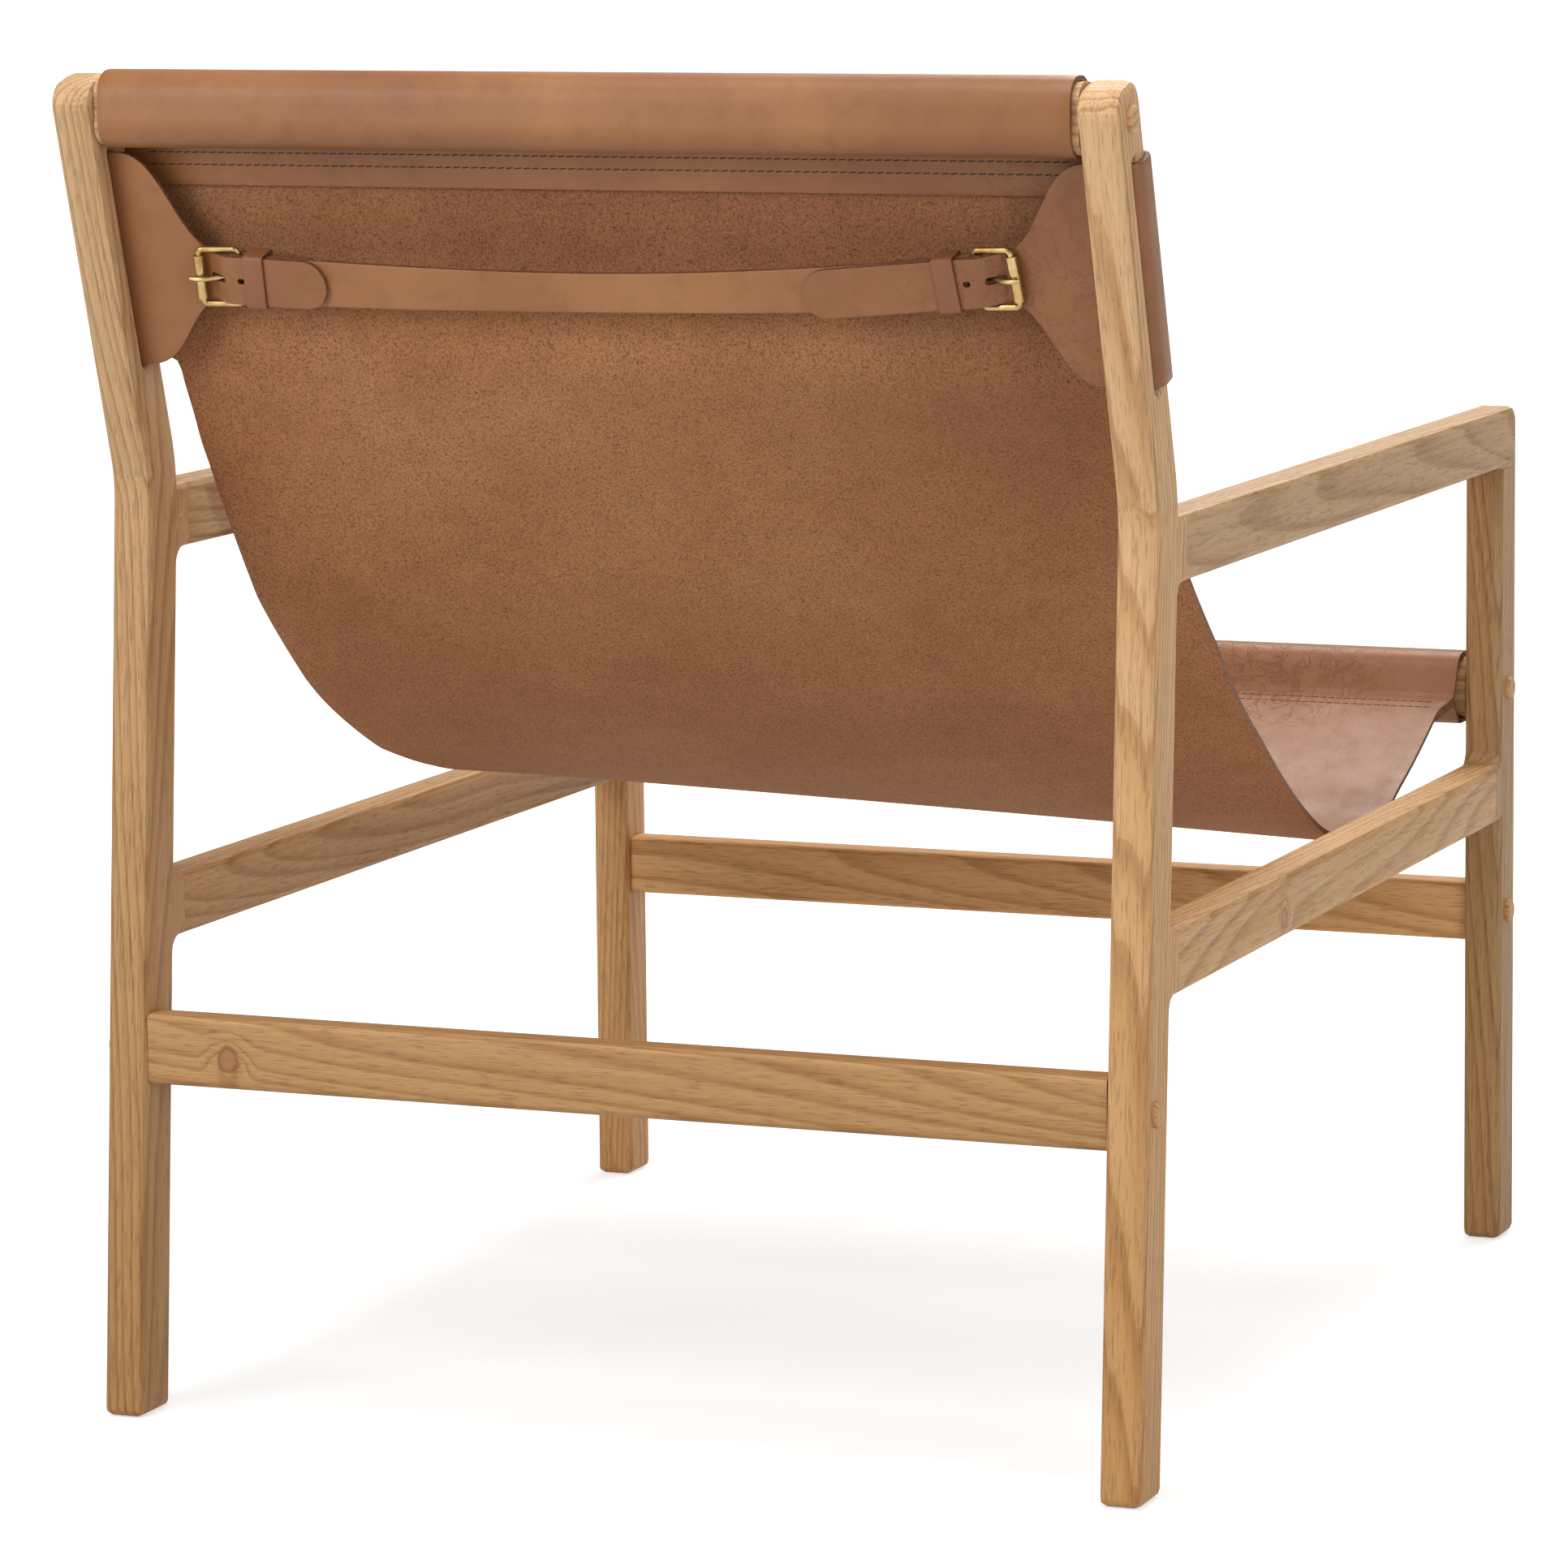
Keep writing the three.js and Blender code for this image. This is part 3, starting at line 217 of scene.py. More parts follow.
def teak(name, along, pith, knots=(), bent=False, tone_and_light_share=1.0):
    """Oiled teak with its grain along one axis: tone bands, rings round the pith, pores, knots, and
    painted shade towards the foot.
    """
    made, tree, shader, place = material(name)
    axis = "XYZ".index(along)
    if bent:
        place = unbent(tree, place)
    rings, knot_shares = growth_rings(tree, place, axis, pith, knots)
    tone = noise(tree, squeezed(tree, place, axis, 0.03), 38.0, 3.0)
    base = ramp(tree, tone, (0.3, "#b88b5b"), (0.5, "#caa070"), (0.7, "#dab388"))
    lines = noise(tree, squeezed(tree, place, axis, 0.025), 420.0, 3.0, Roughness=0.6)
    streaks = ramp(tree, lines, (0.34, "#a27645"), (0.48, "#cba273"), (0.66, "#d8b187"))
    shade = mix(tree, 0.22, mix(tree, 0.68, base, rings), streaks)
    # Open pores: dark dashes some 15 mm long, drawn wider than the real 0.3 mm so that they show
    fine = noise(tree, squeezed(tree, place, axis, 0.07), 980.0, 2.0)
    shade = mix(tree, 0.55, shade, ramp(tree, fine, (0.36, 0.5), (0.46, 1.0)), "MULTIPLY")
    for share in knot_shares:
        heart = ramp(tree, share, (0.0, "#b98a60"), (0.42, "#b3825a"), (0.56, "#8b5e37"),
                     (0.62, "#a67848"))
        shade = mix(tree, ramp(tree, share, (0.56, 0.8), (0.7, 0.0)), shade, heart)
    # The sticks are painted darker towards the foot: painted shade, as the light falls off
    # downwards. Each stick's tone multiplies this besides, partly its own and partly painted light
    # and shade.
    height = node(tree, "ShaderNodeSeparateXYZ", {0: place}).outputs["Z"]
    painted_shade_towards_foot = ramp(tree, height, (0.0, "#e6d4b2"), (0.3, "#f4ead6"), (0.65, "#ffffff"))
    # Each stick's tone is partly its own and partly painted light and shade, set for how that stick
    # is lit
    tone_and_painted_light = (tone_and_light_share, tone_and_light_share, tone_and_light_share, 1)
    shade = mix(tree, 1.0, mix(tree, 1.0, shade, painted_shade_towards_foot, "MULTIPLY"), tone_and_painted_light, "MULTIPLY")
    fill(tree, shader, {
        "Base Color": shade,
        "Roughness": ramp(tree, lines, (0.3, 0.62), (0.7, 0.48)),
        "IOR": 1.45,
        "Normal": bump(tree, fine, 0.15, 0.0004),
    })
    return made


stretcher_low, stretcher_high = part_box("rear_stretcher")
stretcher_middle = (stretcher_low[2] + stretcher_high[2]) / 2
stretcher_knot = (0.247, stretcher_high[1], stretcher_middle - 0.003)
rail_knot = (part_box("side_rail_right")[0][0], 0.105, 0.292)
rear_leg_depth = 0.322
# Each stick's grain direction, where the trunk's pith lay from the stick's middle, its knots, and
# its tone, partly its own and partly painted light and shade
timber = {
    "rear_leg_left": ("Z", (0.06, -0.03, 0), (), 0.95),
    "rear_leg_right": ("Z", (0.008, -0.05, 0), (), 1.2),
    "front_leg_left": ("Z", (-0.07, 0.02, 0), (), 1.28),
    "front_leg_right": ("Z", (0.05, -0.06, 0), (), 0.82),
    "side_rail_left": ("Y", (-0.06, 0, 0.02), (), 1.0),
    "side_rail_right": ("Y", (0.07, 0, -0.02), ((rail_knot, 0.015),), 1.15),
    "arm_left": ("Y", (0.05, 0, 0.04), (), 0.85),
    "arm_right": ("Y", (0.06, 0, 0.01), (), 0.92),
    "rear_stretcher": ("X", (0, -0.06, 0.03), ((stretcher_knot, 0.018),), 0.97),
    "front_stretcher": ("X", (0, -0.07, 0.02), (), 1.48),
    "back_bar": ("X", (0, -0.03, 0.04), (), 1.0),
    "seat_bar": ("X", (0, -0.04, 0.03), (), 1.0),
}
for name, (along, offset, knots, tone_and_light_share) in timber.items():
    low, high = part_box(name)
    pith = [(least + most) / 2 + step for least, most, step in zip(low, high, offset)]
    bent = name.startswith("rear_leg")
    if bent:
        pith[1] = rear_leg_depth + offset[1]
    finish = teak("oiled_teak_" + name, along, pith, knots, bent, tone_and_light_share)
    dress(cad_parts[name], finish)

# Plugs and pins: short teak dowels turned with their grain across the leg, so that the end grain
# faces out. They close the bolts' counterbores and are left a little proud and rounded.
end_grain = teak("oiled_teak_end_grain", "X", (0, 0.1, 0.2), tone_and_light_share=1.2)
for name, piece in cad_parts.items():
    if name.startswith(("plug_", "arm_pin_")):
        dress(piece, end_grain)

# Bolts and nuts: zinc plated steel, hidden in the legs and in the cross members that they draw up.
# Their heads lie under the plugs, and the barrel nuts cross their far ends.
zinc, zinc_tree, zinc_shader, zinc_place = material("zinc_plated_steel")
zinc_spots = noise(zinc_tree, zinc_place, 900.0, 2.0)
fill(zinc_tree, zinc_shader, {
    "Base Color": colour("#a9acae"),
    "Metallic": 1.0,
    "Roughness": ramp(zinc_tree, zinc_spots, (0.3, 0.28), (0.7, 0.42)),
})
for name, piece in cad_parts.items():
    if name.startswith(("bolt_", "nut_")):
        dress(piece, zinc)

# The sling: one hide of vegetable tanned saddle leather, 3 mm thick, waxed on its grain side. It
# wraps over the back bar and the seat bar, where its ends are folded under and sewn down with dark
# thread. Its two wings pass round the rear legs' posts and back in through the slots as flaps.
MM = 0.001
leather = 3 * MM
layer_step = 3.15 * MM
gap = 0.4 * MM
panel_out = -21.4 * MM
wing_low = 70.5 * MM
wing_high = 201.5 * MM
post_foot = Vector((0, 315.89 * MM, 558 * MM))
lean = math.atan(0.3)


def from_behind(across, rise, out):
    """A place seen from behind: across to the right, up the leaning posts, out to the rear.

    The posts' rise starts at post_foot, and out is 0 at the buckles' heel bars.
    """
    return Vector((
        -across,
        post_foot.y + rise * math.sin(lean) + out * math.cos(lean),
        post_foot.z + rise * math.cos(lean) - out * math.sin(lean),
    ))


def middle(name):
    """The middle of a bar, as its depth and height."""
    low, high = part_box(name)
    return Vector(((low.y + high.y) / 2, (low.z + high.z) / 2))


back_bar = middle("back_bar")
seat_bar = middle("seat_bar")
# The hide's middle layer goes round bars of 28 by 40 mm with corners of 11 mm
half_depth = 14 * MM + gap + leather / 2
half_height = 20 * MM + gap + leather / 2
roll_radius = 11 * MM + gap + leather / 2


def lerp(start, end, share):
    return start + (end - start) * share


def bezier(start, first, second, end, share):
    rest = 1 - share
    return (
        rest**3 * start + 3 * rest**2 * share * first
        + 3 * rest * share**2 * second + share**3 * end
    )


def smoothstep(value, low, high):
    share = min(max((value - low) / (high - low), 0), 1)
    return share * share * (3 - 2 * share)


def rounded_line(corners, step):
    """A line through corners (point, radius), each rounded by an arc of points a step apart."""
    line = [corners[0][0]]
    for (before, _), (corner, radius), (after, _) in zip(corners, corners[1:], corners[2:]):
        back = (before - corner).normalized()
        ahead = (after - corner).normalized()
        half_angle = back.angle(ahead) / 2
        centre = corner + (back + ahead).normalized() * (radius / math.sin(half_angle))
        first = corner + back * (radius / math.tan(half_angle)) - centre
        sweep = (math.pi - 2 * half_angle) * (1 if back.cross(ahead) < 0 else -1)
        count = max(3, round(abs(sweep) * radius / step))
        for index in range(count + 1):
            line.append(centre + Matrix.Rotation(sweep * index / count, 2) @ first)
    line.append(corners[-1][0])
    return line


def spread(line, count):
    """The line's points moved to even distances along it."""
    reached = [0.0]
    for before, after in zip(line, line[1:]):
        reached.append(reached[-1] + (after - before).length)
    spots = []
    place = 0
    for index in range(count + 1):
        wanted = reached[-1] * index / count
        while place < len(line) - 2 and reached[place + 1] < wanted:
            place += 1
        share = (wanted - reached[place]) / (reached[place + 1] - reached[place])
        spots.append(lerp(line[place], line[place + 1], min(max(share, 0), 1)))
    return spots


# The panel hangs on one smooth line, and its edges are skewed: one out and the other in
def on_post(rise):
    place = from_behind(0, rise, panel_out)
    return Vector((place.y, place.z, 0))


# Depth and height between the seat bar (0) and the back bar (1), and the share of the skew
hang_shares = [
    (0.882, 0.562, 0.28), (0.854, 0.501, 0.52), (0.764, 0.308, 1), (0.684, 0.172, 1),
    (0.63, 0.096, 0.82), (0.557, 0.016, 0.6), (0.466, -0.062, 0.12), (0.388, -0.111, -0.24),
    (0.309, -0.139, -0.44), (0.226, -0.135, -0.44), (0.178, -0.108, -0.32), (0.115, -0.072, -0.16),
]
skew_reach = 25 * MM
straight_top = 190 * MM
straight_foot = 66 * MM
crease = Vector((seat_bar.x + 28 * MM, seat_bar.y - 5.5 * MM, 0))
knots_of_line = [Vector((back_bar.x - half_depth, back_bar.y, 0))]
for share in (0, 1 / 3, 2 / 3, 1):
    knots_of_line.append(on_post(lerp(straight_top, straight_foot, share)))
for depth_share, height_share, skew_share in hang_shares:
    knots_of_line.append(Vector((
        lerp(seat_bar.x, back_bar.x, depth_share),
        lerp(seat_bar.y, back_bar.y, height_share),
        skew_share * skew_reach,
    )))
knots_of_line.append(crease)

steps_per_span = 16
hanging = []
for index in range(len(knots_of_line) - 1):
    start, end = knots_of_line[index], knots_of_line[index + 1]
    before = knots_of_line[max(index - 1, 0)]
    after = knots_of_line[min(index + 2, len(knots_of_line) - 1)]
    leave, arrive = (end - before) / 2, (after - start) / 2
    for step in range(steps_per_span):
        share = step / steps_per_span
        spot = (
            (2 * share**3 - 3 * share**2 + 1) * start
            + (share**3 - 2 * share**2 + share) * leave
            + (3 * share**2 - 2 * share**3) * end
            + (share**3 - share**2) * arrive
        )
        hanging.append(Vector((spot.x, spot.y, lerp(start.z, end.z, share))))
hanging.append(crease)


def rise_of(spot):
    """How far up the leaning posts a place lies, given as its depth and height."""
    return (spot.x - post_foot.y) * math.sin(lean) + (spot.y - post_foot.z) * math.cos(lean)


def cut_line(line, rise):
    """The line above and below a height on the posts, both with the point at that height."""
    for index, (upper, lower) in enumerate(zip(line, line[1:])):
        if rise_of(upper) >= rise > rise_of(lower):
            share = (rise_of(upper) - rise) / (rise_of(upper) - rise_of(lower))
            spot = lerp(upper, lower, share)
            return line[: index + 1] + [spot], [spot] + line[index + 1 :]
    raise ValueError("the line doesn't pass that height")


rows_above_wing = 6
rows_beside_wing = 22
rows_below_wing = 132
rows_per_roll = 34
above_wing, lower_part = cut_line(hanging, wing_high)
beside_wing, below_wing = cut_line(lower_part, wing_low)
panel_rows = spread(above_wing, rows_above_wing)[:-1]
first_wing_row = len(panel_rows)
panel_rows += spread(beside_wing, rows_beside_wing)[:-1]
last_wing_row = len(panel_rows)
panel_rows += spread(below_wing, rows_below_wing)


def skewed_rows(line):
    """Each row as its place, the way to the sitter and the push on its right-hand edge."""
    made = []
    for index, spot in enumerate(line):
        before, after = line[max(index - 1, 0)], line[min(index + 1, len(line) - 1)]
        along = (after - before).to_2d().normalized()
        sitter = Vector((along.y, -along.x))
        made.append((spot.to_2d(), sitter, sitter * -spot.z))
    return made


panel = skewed_rows(panel_rows)


def under(row):
    """The row of the fold that lies against a row of the panel."""
    spot, sitter, push = row
    return spot - sitter * layer_step, sitter, push


def roll(corners):
    line = spread(rounded_line(corners, 2 * MM), rows_per_roll)
    return [(spot, None, Vector((0, 0))) for spot in line]


def around(bar, depth_side, height_side, radius=roll_radius):
    """A corner of a sleeve round a bar, and its radius."""
    return Vector((bar.x + depth_side * half_depth, bar.y + height_side * half_height)), radius


fold_foot = from_behind(0, 175.9 * MM, panel_out + layer_step)
fold_head = from_behind(0, 204.4 * MM, panel_out + layer_step)
fold_depth = 20 * MM
back_roll = roll([
    (Vector((fold_foot.y, fold_foot.z)), 0),
    (Vector((fold_head.y, fold_head.z)), 5 * MM),
    around(back_bar, 1, -1),
    around(back_bar, 1, 1),
    around(back_bar, -1, 1),
    (Vector((back_bar.x - half_depth, back_bar.y)), 0),
])
fold_rows = [under(row) for row in reversed(panel) if (row[0] - crease.to_2d()).length < fold_depth]
seat_roll = roll([
    (crease.to_2d(), 0),
    around(seat_bar, 1, 1),
    around(seat_bar, -1, 1),
    around(seat_bar, -1, -1),
    around(seat_bar, 1, -1, 6 * MM),
    (fold_rows[0][0] + Vector((-3 * MM, -4 * MM)), 2 * MM),
    (fold_rows[0][0], 0),
])
rows = back_roll[:-1] + panel + seat_roll[1:-1] + fold_rows
first_wing_row += len(back_roll) - 1
last_wing_row += len(back_roll) - 1

# Each wing's path seen from above: past the post, round it, in through the slot, flat to the buckle
# and up over the strap's end. Its flap narrows by two shoulders to a billet with a round tip.
heel_reach = {"left": 229.5 * MM, "right": 226.5 * MM}
heel_rise = {"left": 126 * MM, "right": 133 * MM}
tilt = {"left": 0.045, "right": 0.09}
billet_reach = {"left": 58 * MM, "right": 102 * MM}
buckle_length = 23.5 * MM
billet_half = 14.5 * MM
billet_tip = 13 * MM
flap_root = 296 * MM
flap_end = 246 * MM
shoulder_out, shoulder_in = 270 * MM, 268 * MM


def line_rise(side, across):
    return heel_rise[side] + (across - heel_reach[side]) * tilt[side]


def flap_edge(side, across, outer, turn):
    """Height of a flap's upper or lower edge at a distance from the middle."""
    if across >= flap_root:
        return outer
    if across > flap_end:
        waist = line_rise(side, flap_end) + turn * billet_half
        settled = lerp(waist, outer, 0.2)
        # The place on the shoulder's curve at this distance is found by halving
        low, high = 0.0, 1.0
        for _ in range(24):
            share = (low + high) / 2
            reached = bezier(flap_root, shoulder_out, shoulder_in, flap_end, share)
            low, high = (share, high) if reached > across else (low, share)
        return bezier(outer, outer, settled, waist, share)
    beyond = heel_reach[side] - billet_reach[side] + billet_tip - across
    narrowed = math.sqrt(1 - 0.93 * min(max(beyond / billet_tip, 0), 1) ** 2)
    return line_rise(side, across) + turn * billet_half * narrowed


def wing_line(side):
    """A wing's path seen from above, as points (across, out) about 3.4 mm apart."""
    heel = heel_reach[side]
    # The leg's outer face, the gap and half the leather
    outside = (325 + 0.4 + 1.5) * MM
    corners = [
        (Vector((305 * MM, panel_out)), 0),
        (Vector((outside, panel_out)), 6.4 * MM),
        (Vector((outside, 0)), 6 * MM),
        (Vector((heel + 2.0 * buckle_length, -0.2 * MM)), 12 * MM),
        (Vector((heel + 0.72 * buckle_length, -1.2 * MM)), 8 * MM),
        (Vector((heel + 0.2 * buckle_length, 6.6 * MM)), 8 * MM),
        (Vector((heel - billet_reach[side], 6.6 * MM)), 0),
    ]
    line = rounded_line(corners, 1.6 * MM)
    length = sum((after - before).length for before, after in zip(line, line[1:]))
    return spread(line, round(length / (3.4 * MM)))


sleeve_half = 296 * MM
hanging_half = 289 * MM
fillet = 12 * MM
fillet_run = 16 * MM
columns = 84
vertices = []
flat_places = []
panel_index = {}
wing_index = {}
travelled = 0.0
row_travel = []
for index, (spot, _, _) in enumerate(rows):
    if index:
        travelled += (spot - rows[index - 1][0]).length
    row_travel.append(travelled)


def panel_half(spot):
    """Half the panel's width: wider in the sleeves, and filleted into the wings."""
    to_bar = min((spot - back_bar).length, (spot - seat_bar).length) - 20 * MM
    half = lerp(sleeve_half, hanging_half, smoothstep(to_bar, 6 * MM, 26 * MM))
    rise = rise_of(spot)
    past = max(wing_low - rise, rise - wing_high)
    on_the_post = spot.y > post_foot.z and spot.x < back_bar.x - 10 * MM
    if on_the_post and -fillet_run < past < fillet:
        if past > 0:
            reach = fillet - math.sqrt(max(0, (2 * fillet - past) * past))
        else:
            reach = fillet * (1 + past / fillet_run)
        half = max(half, hanging_half + reach)
    return half


for index, (spot, _, push) in enumerate(rows):
    half = panel_half(spot)
    for column in range(columns + 1):
        share = 2 * column / columns - 1
        panel_index[index, column] = len(vertices)
        vertices.append(Vector((half * share, spot.x + push.x * share, spot.y + push.y * share)))
        flat_places.append((half * share, row_travel[index]))
faces = []
for index in range(len(rows) - 1):
    for column in range(columns):
        faces.append((
            panel_index[index, column], panel_index[index + 1, column],
            panel_index[index + 1, column + 1], panel_index[index, column + 1],
        ))

for side, edge_column in (("left", columns), ("right", 0)):
    line = wing_line(side)
    for index in range(first_wing_row, last_wing_row + 1):
        spot = rows[index][0]
        rise = rise_of(spot)
        down_share = (wing_high - rise) / (wing_high - wing_low)
        edge = abs(vertices[panel_index[index, edge_column]].x)
        edge_out = (spot.x - post_foot.y) * math.cos(lean) - (spot.y - post_foot.z) * math.sin(lean)
        wing_index[index, 0] = panel_index[index, edge_column]
        along = edge
        for step, place in enumerate(line):
            across, out = place
            if step == 0:
                across = lerp(edge, line[1].x, 0.5)
                out = lerp(edge_out, out, 0.5)
            # Once round the post, the wing's height is set by the flap's own edges
            returned = step > 0 and out > -12 * MM
            if returned:
                top = flap_edge(side, across, wing_high, 1)
                bottom = flap_edge(side, across, wing_low, -1)
                height = lerp(top, bottom, down_share)
            else:
                height = rise
            before = line[step - 1] if step else Vector((edge, 0))
            along += (Vector((across, out)) - before).length if step > 1 else abs(across - before.x)
            seen_across = across if side == "right" else -across
            wing_index[index, step + 1] = len(vertices)
            vertices.append(from_behind(seen_across, height, out))
            sign = -1 if side == "right" else 1
            flat_places.append((sign * along, row_travel[index]))
    for index in range(first_wing_row, last_wing_row):
        for step in range(len(line)):
            quad = (
                wing_index[index, step], wing_index[index + 1, step],
                wing_index[index + 1, step + 1], wing_index[index, step + 1],
            )
            faces.append(quad if side == "left" else quad[::-1])


def made_of(name, spots, polygons):
    mesh = bpy.data.meshes.new(name)
    mesh.from_pydata(spots, [], polygons)
    piece = bpy.data.objects.new(name, mesh)
    bpy.context.collection.objects.link(piece)
    return piece


def pick(piece):
    bpy.ops.object.select_all(action="DESELECT")
    piece.select_set(True)
    bpy.context.view_layer.objects.active = piece


def apply_modifier(piece, kind, **settings):
    modifier = piece.modifiers.new(kind.title(), kind)
    for name, value in settings.items():
        setattr(modifier, name, value)
    pick(piece)
    bpy.ops.object.modifier_apply(modifier=modifier.name)


def thicken(piece, thickness, rounding):
    """Gives a sheet its thickness, a flesh side and cut edges, and rounds the edges."""
    apply_modifier(piece, "SOLIDIFY", thickness=thickness, offset=0, use_even_offset=True,
                   material_offset=1, material_offset_rim=2)
    apply_modifier(piece, "BEVEL", width=rounding, segments=2, limit_method="ANGLE",
                   angle_limit=math.radians(60))


def smooth(piece, degrees):
    pick(piece)
    bpy.ops.object.shade_smooth_by_angle(angle=math.radians(degrees))


hide = made_of("leather_sling", vertices, faces)
flat_map = hide.data.uv_layers.new(name="flat")
for loop in hide.data.loops:
    flat_map.data[loop.index].uv = flat_places[loop.vertex_index]


def creased(tree, place, shade, height, creases):
    """Fine broken creases round some spots, where the hide was bent wet or where legs rub it; their
    lines are bumped in and painted darker, as painted shade in the creases.
    """
    winding = noise(tree, place, 58.0, 5.0, Roughness=0.55, Distortion=1.4)
    line = ramp(tree, winding, (0.465, 0.0), (0.49, 1.0), (0.515, 0.0))
    for spot, reach in creases:
        away = vector_maths(tree, "DISTANCE", place, spot)
        depth = maths(tree, "MULTIPLY", line, fade(tree, away, 0.6 * reach, reach, 1.0, 0.0))
        # The crease lines are painted darker: painted shade in the creases
        shade = mix(tree, maths(tree, "MULTIPLY", depth, 0.18), shade, colour("#7a4c2f"))
        height = maths(tree, "MULTIPLY_ADD", depth, -0.45, height)
    return shade, height


def tan_grain(name, codes, roughness=0.42, creases=()):
    """Grain side: waxed, so it is even tan with fine pores, soft creases and a low sheen."""
    made, tree, shader, place = material(name)
    cloud = noise(tree, place, 9.0, 4.0)
    patch = noise(tree, place, 60.0, 5.0, Roughness=0.65)
    # Pores and pebble about 1 mm apart
    pebble = node(tree, "ShaderNodeTexVoronoi", {"Vector": place, "Scale": 1100.0}, feature="F1")
    crumple = noise(tree, place, 420.0, 6.0, Roughness=0.7)
    base = ramp(tree, cloud, (0.32, codes[0]), (0.52, codes[1]), (0.7, codes[2]))
    mottle = ramp(tree, patch, (0.3, 0.88), (0.5, 1.0), (0.72, 1.0))
    pores = ramp(tree, pebble.outputs["Distance"], (0.0, 0.86), (0.35, 1.0))
    shade = mix(tree, 0.5, mix(tree, 1.0, base, mottle, "MULTIPLY"), pores, "MULTIPLY")
    height = cloud
    if creases:
        shade, height = creased(tree, place, shade, height, creases)
    fill(tree, shader, {
        "Base Color": shade,
        "Roughness": ramp(tree, patch, (0.3, roughness + 0.08), (0.7, roughness - 0.05)),
        "IOR": 1.48,
        "Normal": bump(tree, height, 0.35, 0.004, Normal=bump(tree, crumple, 0.4, 0.0006)),
    })
    return made


def sueded_flesh():
    """Flesh side: sueded nap with dark flecks about 1 mm long and cloudy patches, quite matt."""
    made, tree, shader, place = material("sueded_flesh_side")
    cloud = noise(tree, place, 6.5, 5.0, Roughness=0.6)
    patch = noise(tree, place, 55.0, 6.0, Roughness=0.75)
    nap = noise(tree, place, 760.0, 3.0, Roughness=0.75, Distortion=0.5)
    base = ramp(tree, cloud, (0.3, "#b6774a"), (0.5, "#c48557"), (0.7, "#cd9061"))
    mottle = ramp(tree, patch, (0.3, 0.88), (0.55, 1.0))
    flecks = ramp(tree, nap, (0.37, 0.25), (0.47, 0.72), (0.58, 1.0))
    # The nap above the strap and by the right wing is painted darker: painted shadow above the
    # strap and painted shade by the right wing
    height = node(tree, "ShaderNodeSeparateXYZ", {0: place}).outputs["Z"]
    painted_shadow_above_strap = fade(tree, height, 0.655, 0.705, 0.0, 0.3)
    from_wing = vector_maths(tree, "DISTANCE", place, (-0.27, 0.34, 0.64))
    painted_shade_by_strap_and_wing = maths(tree, "MAXIMUM", painted_shadow_above_strap, fade(tree, from_wing, 0.05, 0.24, 0.26, 0.0))
    shade = mix(tree, painted_shade_by_strap_and_wing, base, colour("#5c3322"))
    shade = mix(tree, 0.9, mix(tree, 1.0, shade, mottle, "MULTIPLY"), flecks, "MULTIPLY")
    fill(tree, shader, {
        "Base Color": shade,
        "Roughness": 0.92,
        "Sheen Weight": 0.25,
        "Sheen Roughness": 0.5,
        "Sheen Tint": colour("#d9a27a"),
        "Normal": bump(tree, nap, 0.7, 0.0008),
    })
    return made


def burnished_edge():
    """Cut edge: burnished with a slicker, darker than either face, with faint fibres along it."""
    made, tree, shader, place = material("burnished_leather_edge")
    fibre = noise(tree, place, 420.0, 4.0)
    fill(tree, shader, {
        "Base Color": ramp(tree, fibre, (0.3, "#5d3a24"), (0.7, "#84563a")),
        "Roughness": 0.6,
    })
    return made


grain_side = tan_grain("waxed_tan_grain_side", ("#8b5731", "#976238", "#a16b3e"), creases=(
    ((-0.25, 0.37, 0.675), 0.085),
    ((-0.17, seat_bar.x, seat_bar.y + half_height), 0.09),
    ((0.12, seat_bar.x, seat_bar.y + half_height), 0.07),
))
flesh_side = sueded_flesh()
cut_edge = burnished_edge()
cut_edge_slot = 2
dress(hide, grain_side, flesh_side, cut_edge)
thicken(hide, leather, 0.5 * MM)


def punch(name, side, from_share, to_share, width):
    """A cutter for one hole through a billet, with a round end at each share of the buckle."""
    bpy.ops.object.select_all(action="DESELECT")
    bpy.ops.mesh.primitive_cylinder_add(vertices=24, radius=width / 2, depth=16 * MM)
    cutter = bpy.context.object
    cutter.name = name
    reach = (to_share - from_share) * buckle_length
    for vertex in cutter.data.vertices:
        vertex.co.x += reach / 2 * (1 if vertex.co.x > 0 else -1)
    centre = heel_reach[side] + (from_share + to_share) / 2 * buckle_length
    sign = 1 if side == "right" else -1
    origin = from_behind(sign * centre, line_rise(side, centre), 3 * MM)
    beyond = from_behind(sign * (centre + MM), line_rise(side, centre + MM), 3 * MM)
    ahead = (beyond - origin).normalized()
    out = (from_behind(0, 0, MM) - from_behind(0, 0, 0)).normalized()
    turn = Matrix((ahead, out.cross(ahead), out)).transposed().to_4x4()
    cutter.data.transform(Matrix.Translation(origin) @ turn)
    for polygon in cutter.data.polygons:
        polygon.material_index = cut_edge_slot
    return cutter


# Each billet has a long hole that the prong comes through, and a spare round one further in
for side in ("left", "right"):
    for name, from_share, to_share, width in (
        ("prong_hole", 0.36, 0.66, 4.4 * MM), ("spare_hole", -0.2, -0.16, 3.6 * MM),
    ):
        cutter = punch(name, side, from_share, to_share, width)
        apply_modifier(hide, "BOOLEAN", operation="DIFFERENCE", solver="EXACT", object=cutter)
        bpy.data.objects.remove(cutter)
smooth(hide, 50)

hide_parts("sling")
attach(hide, "chair")

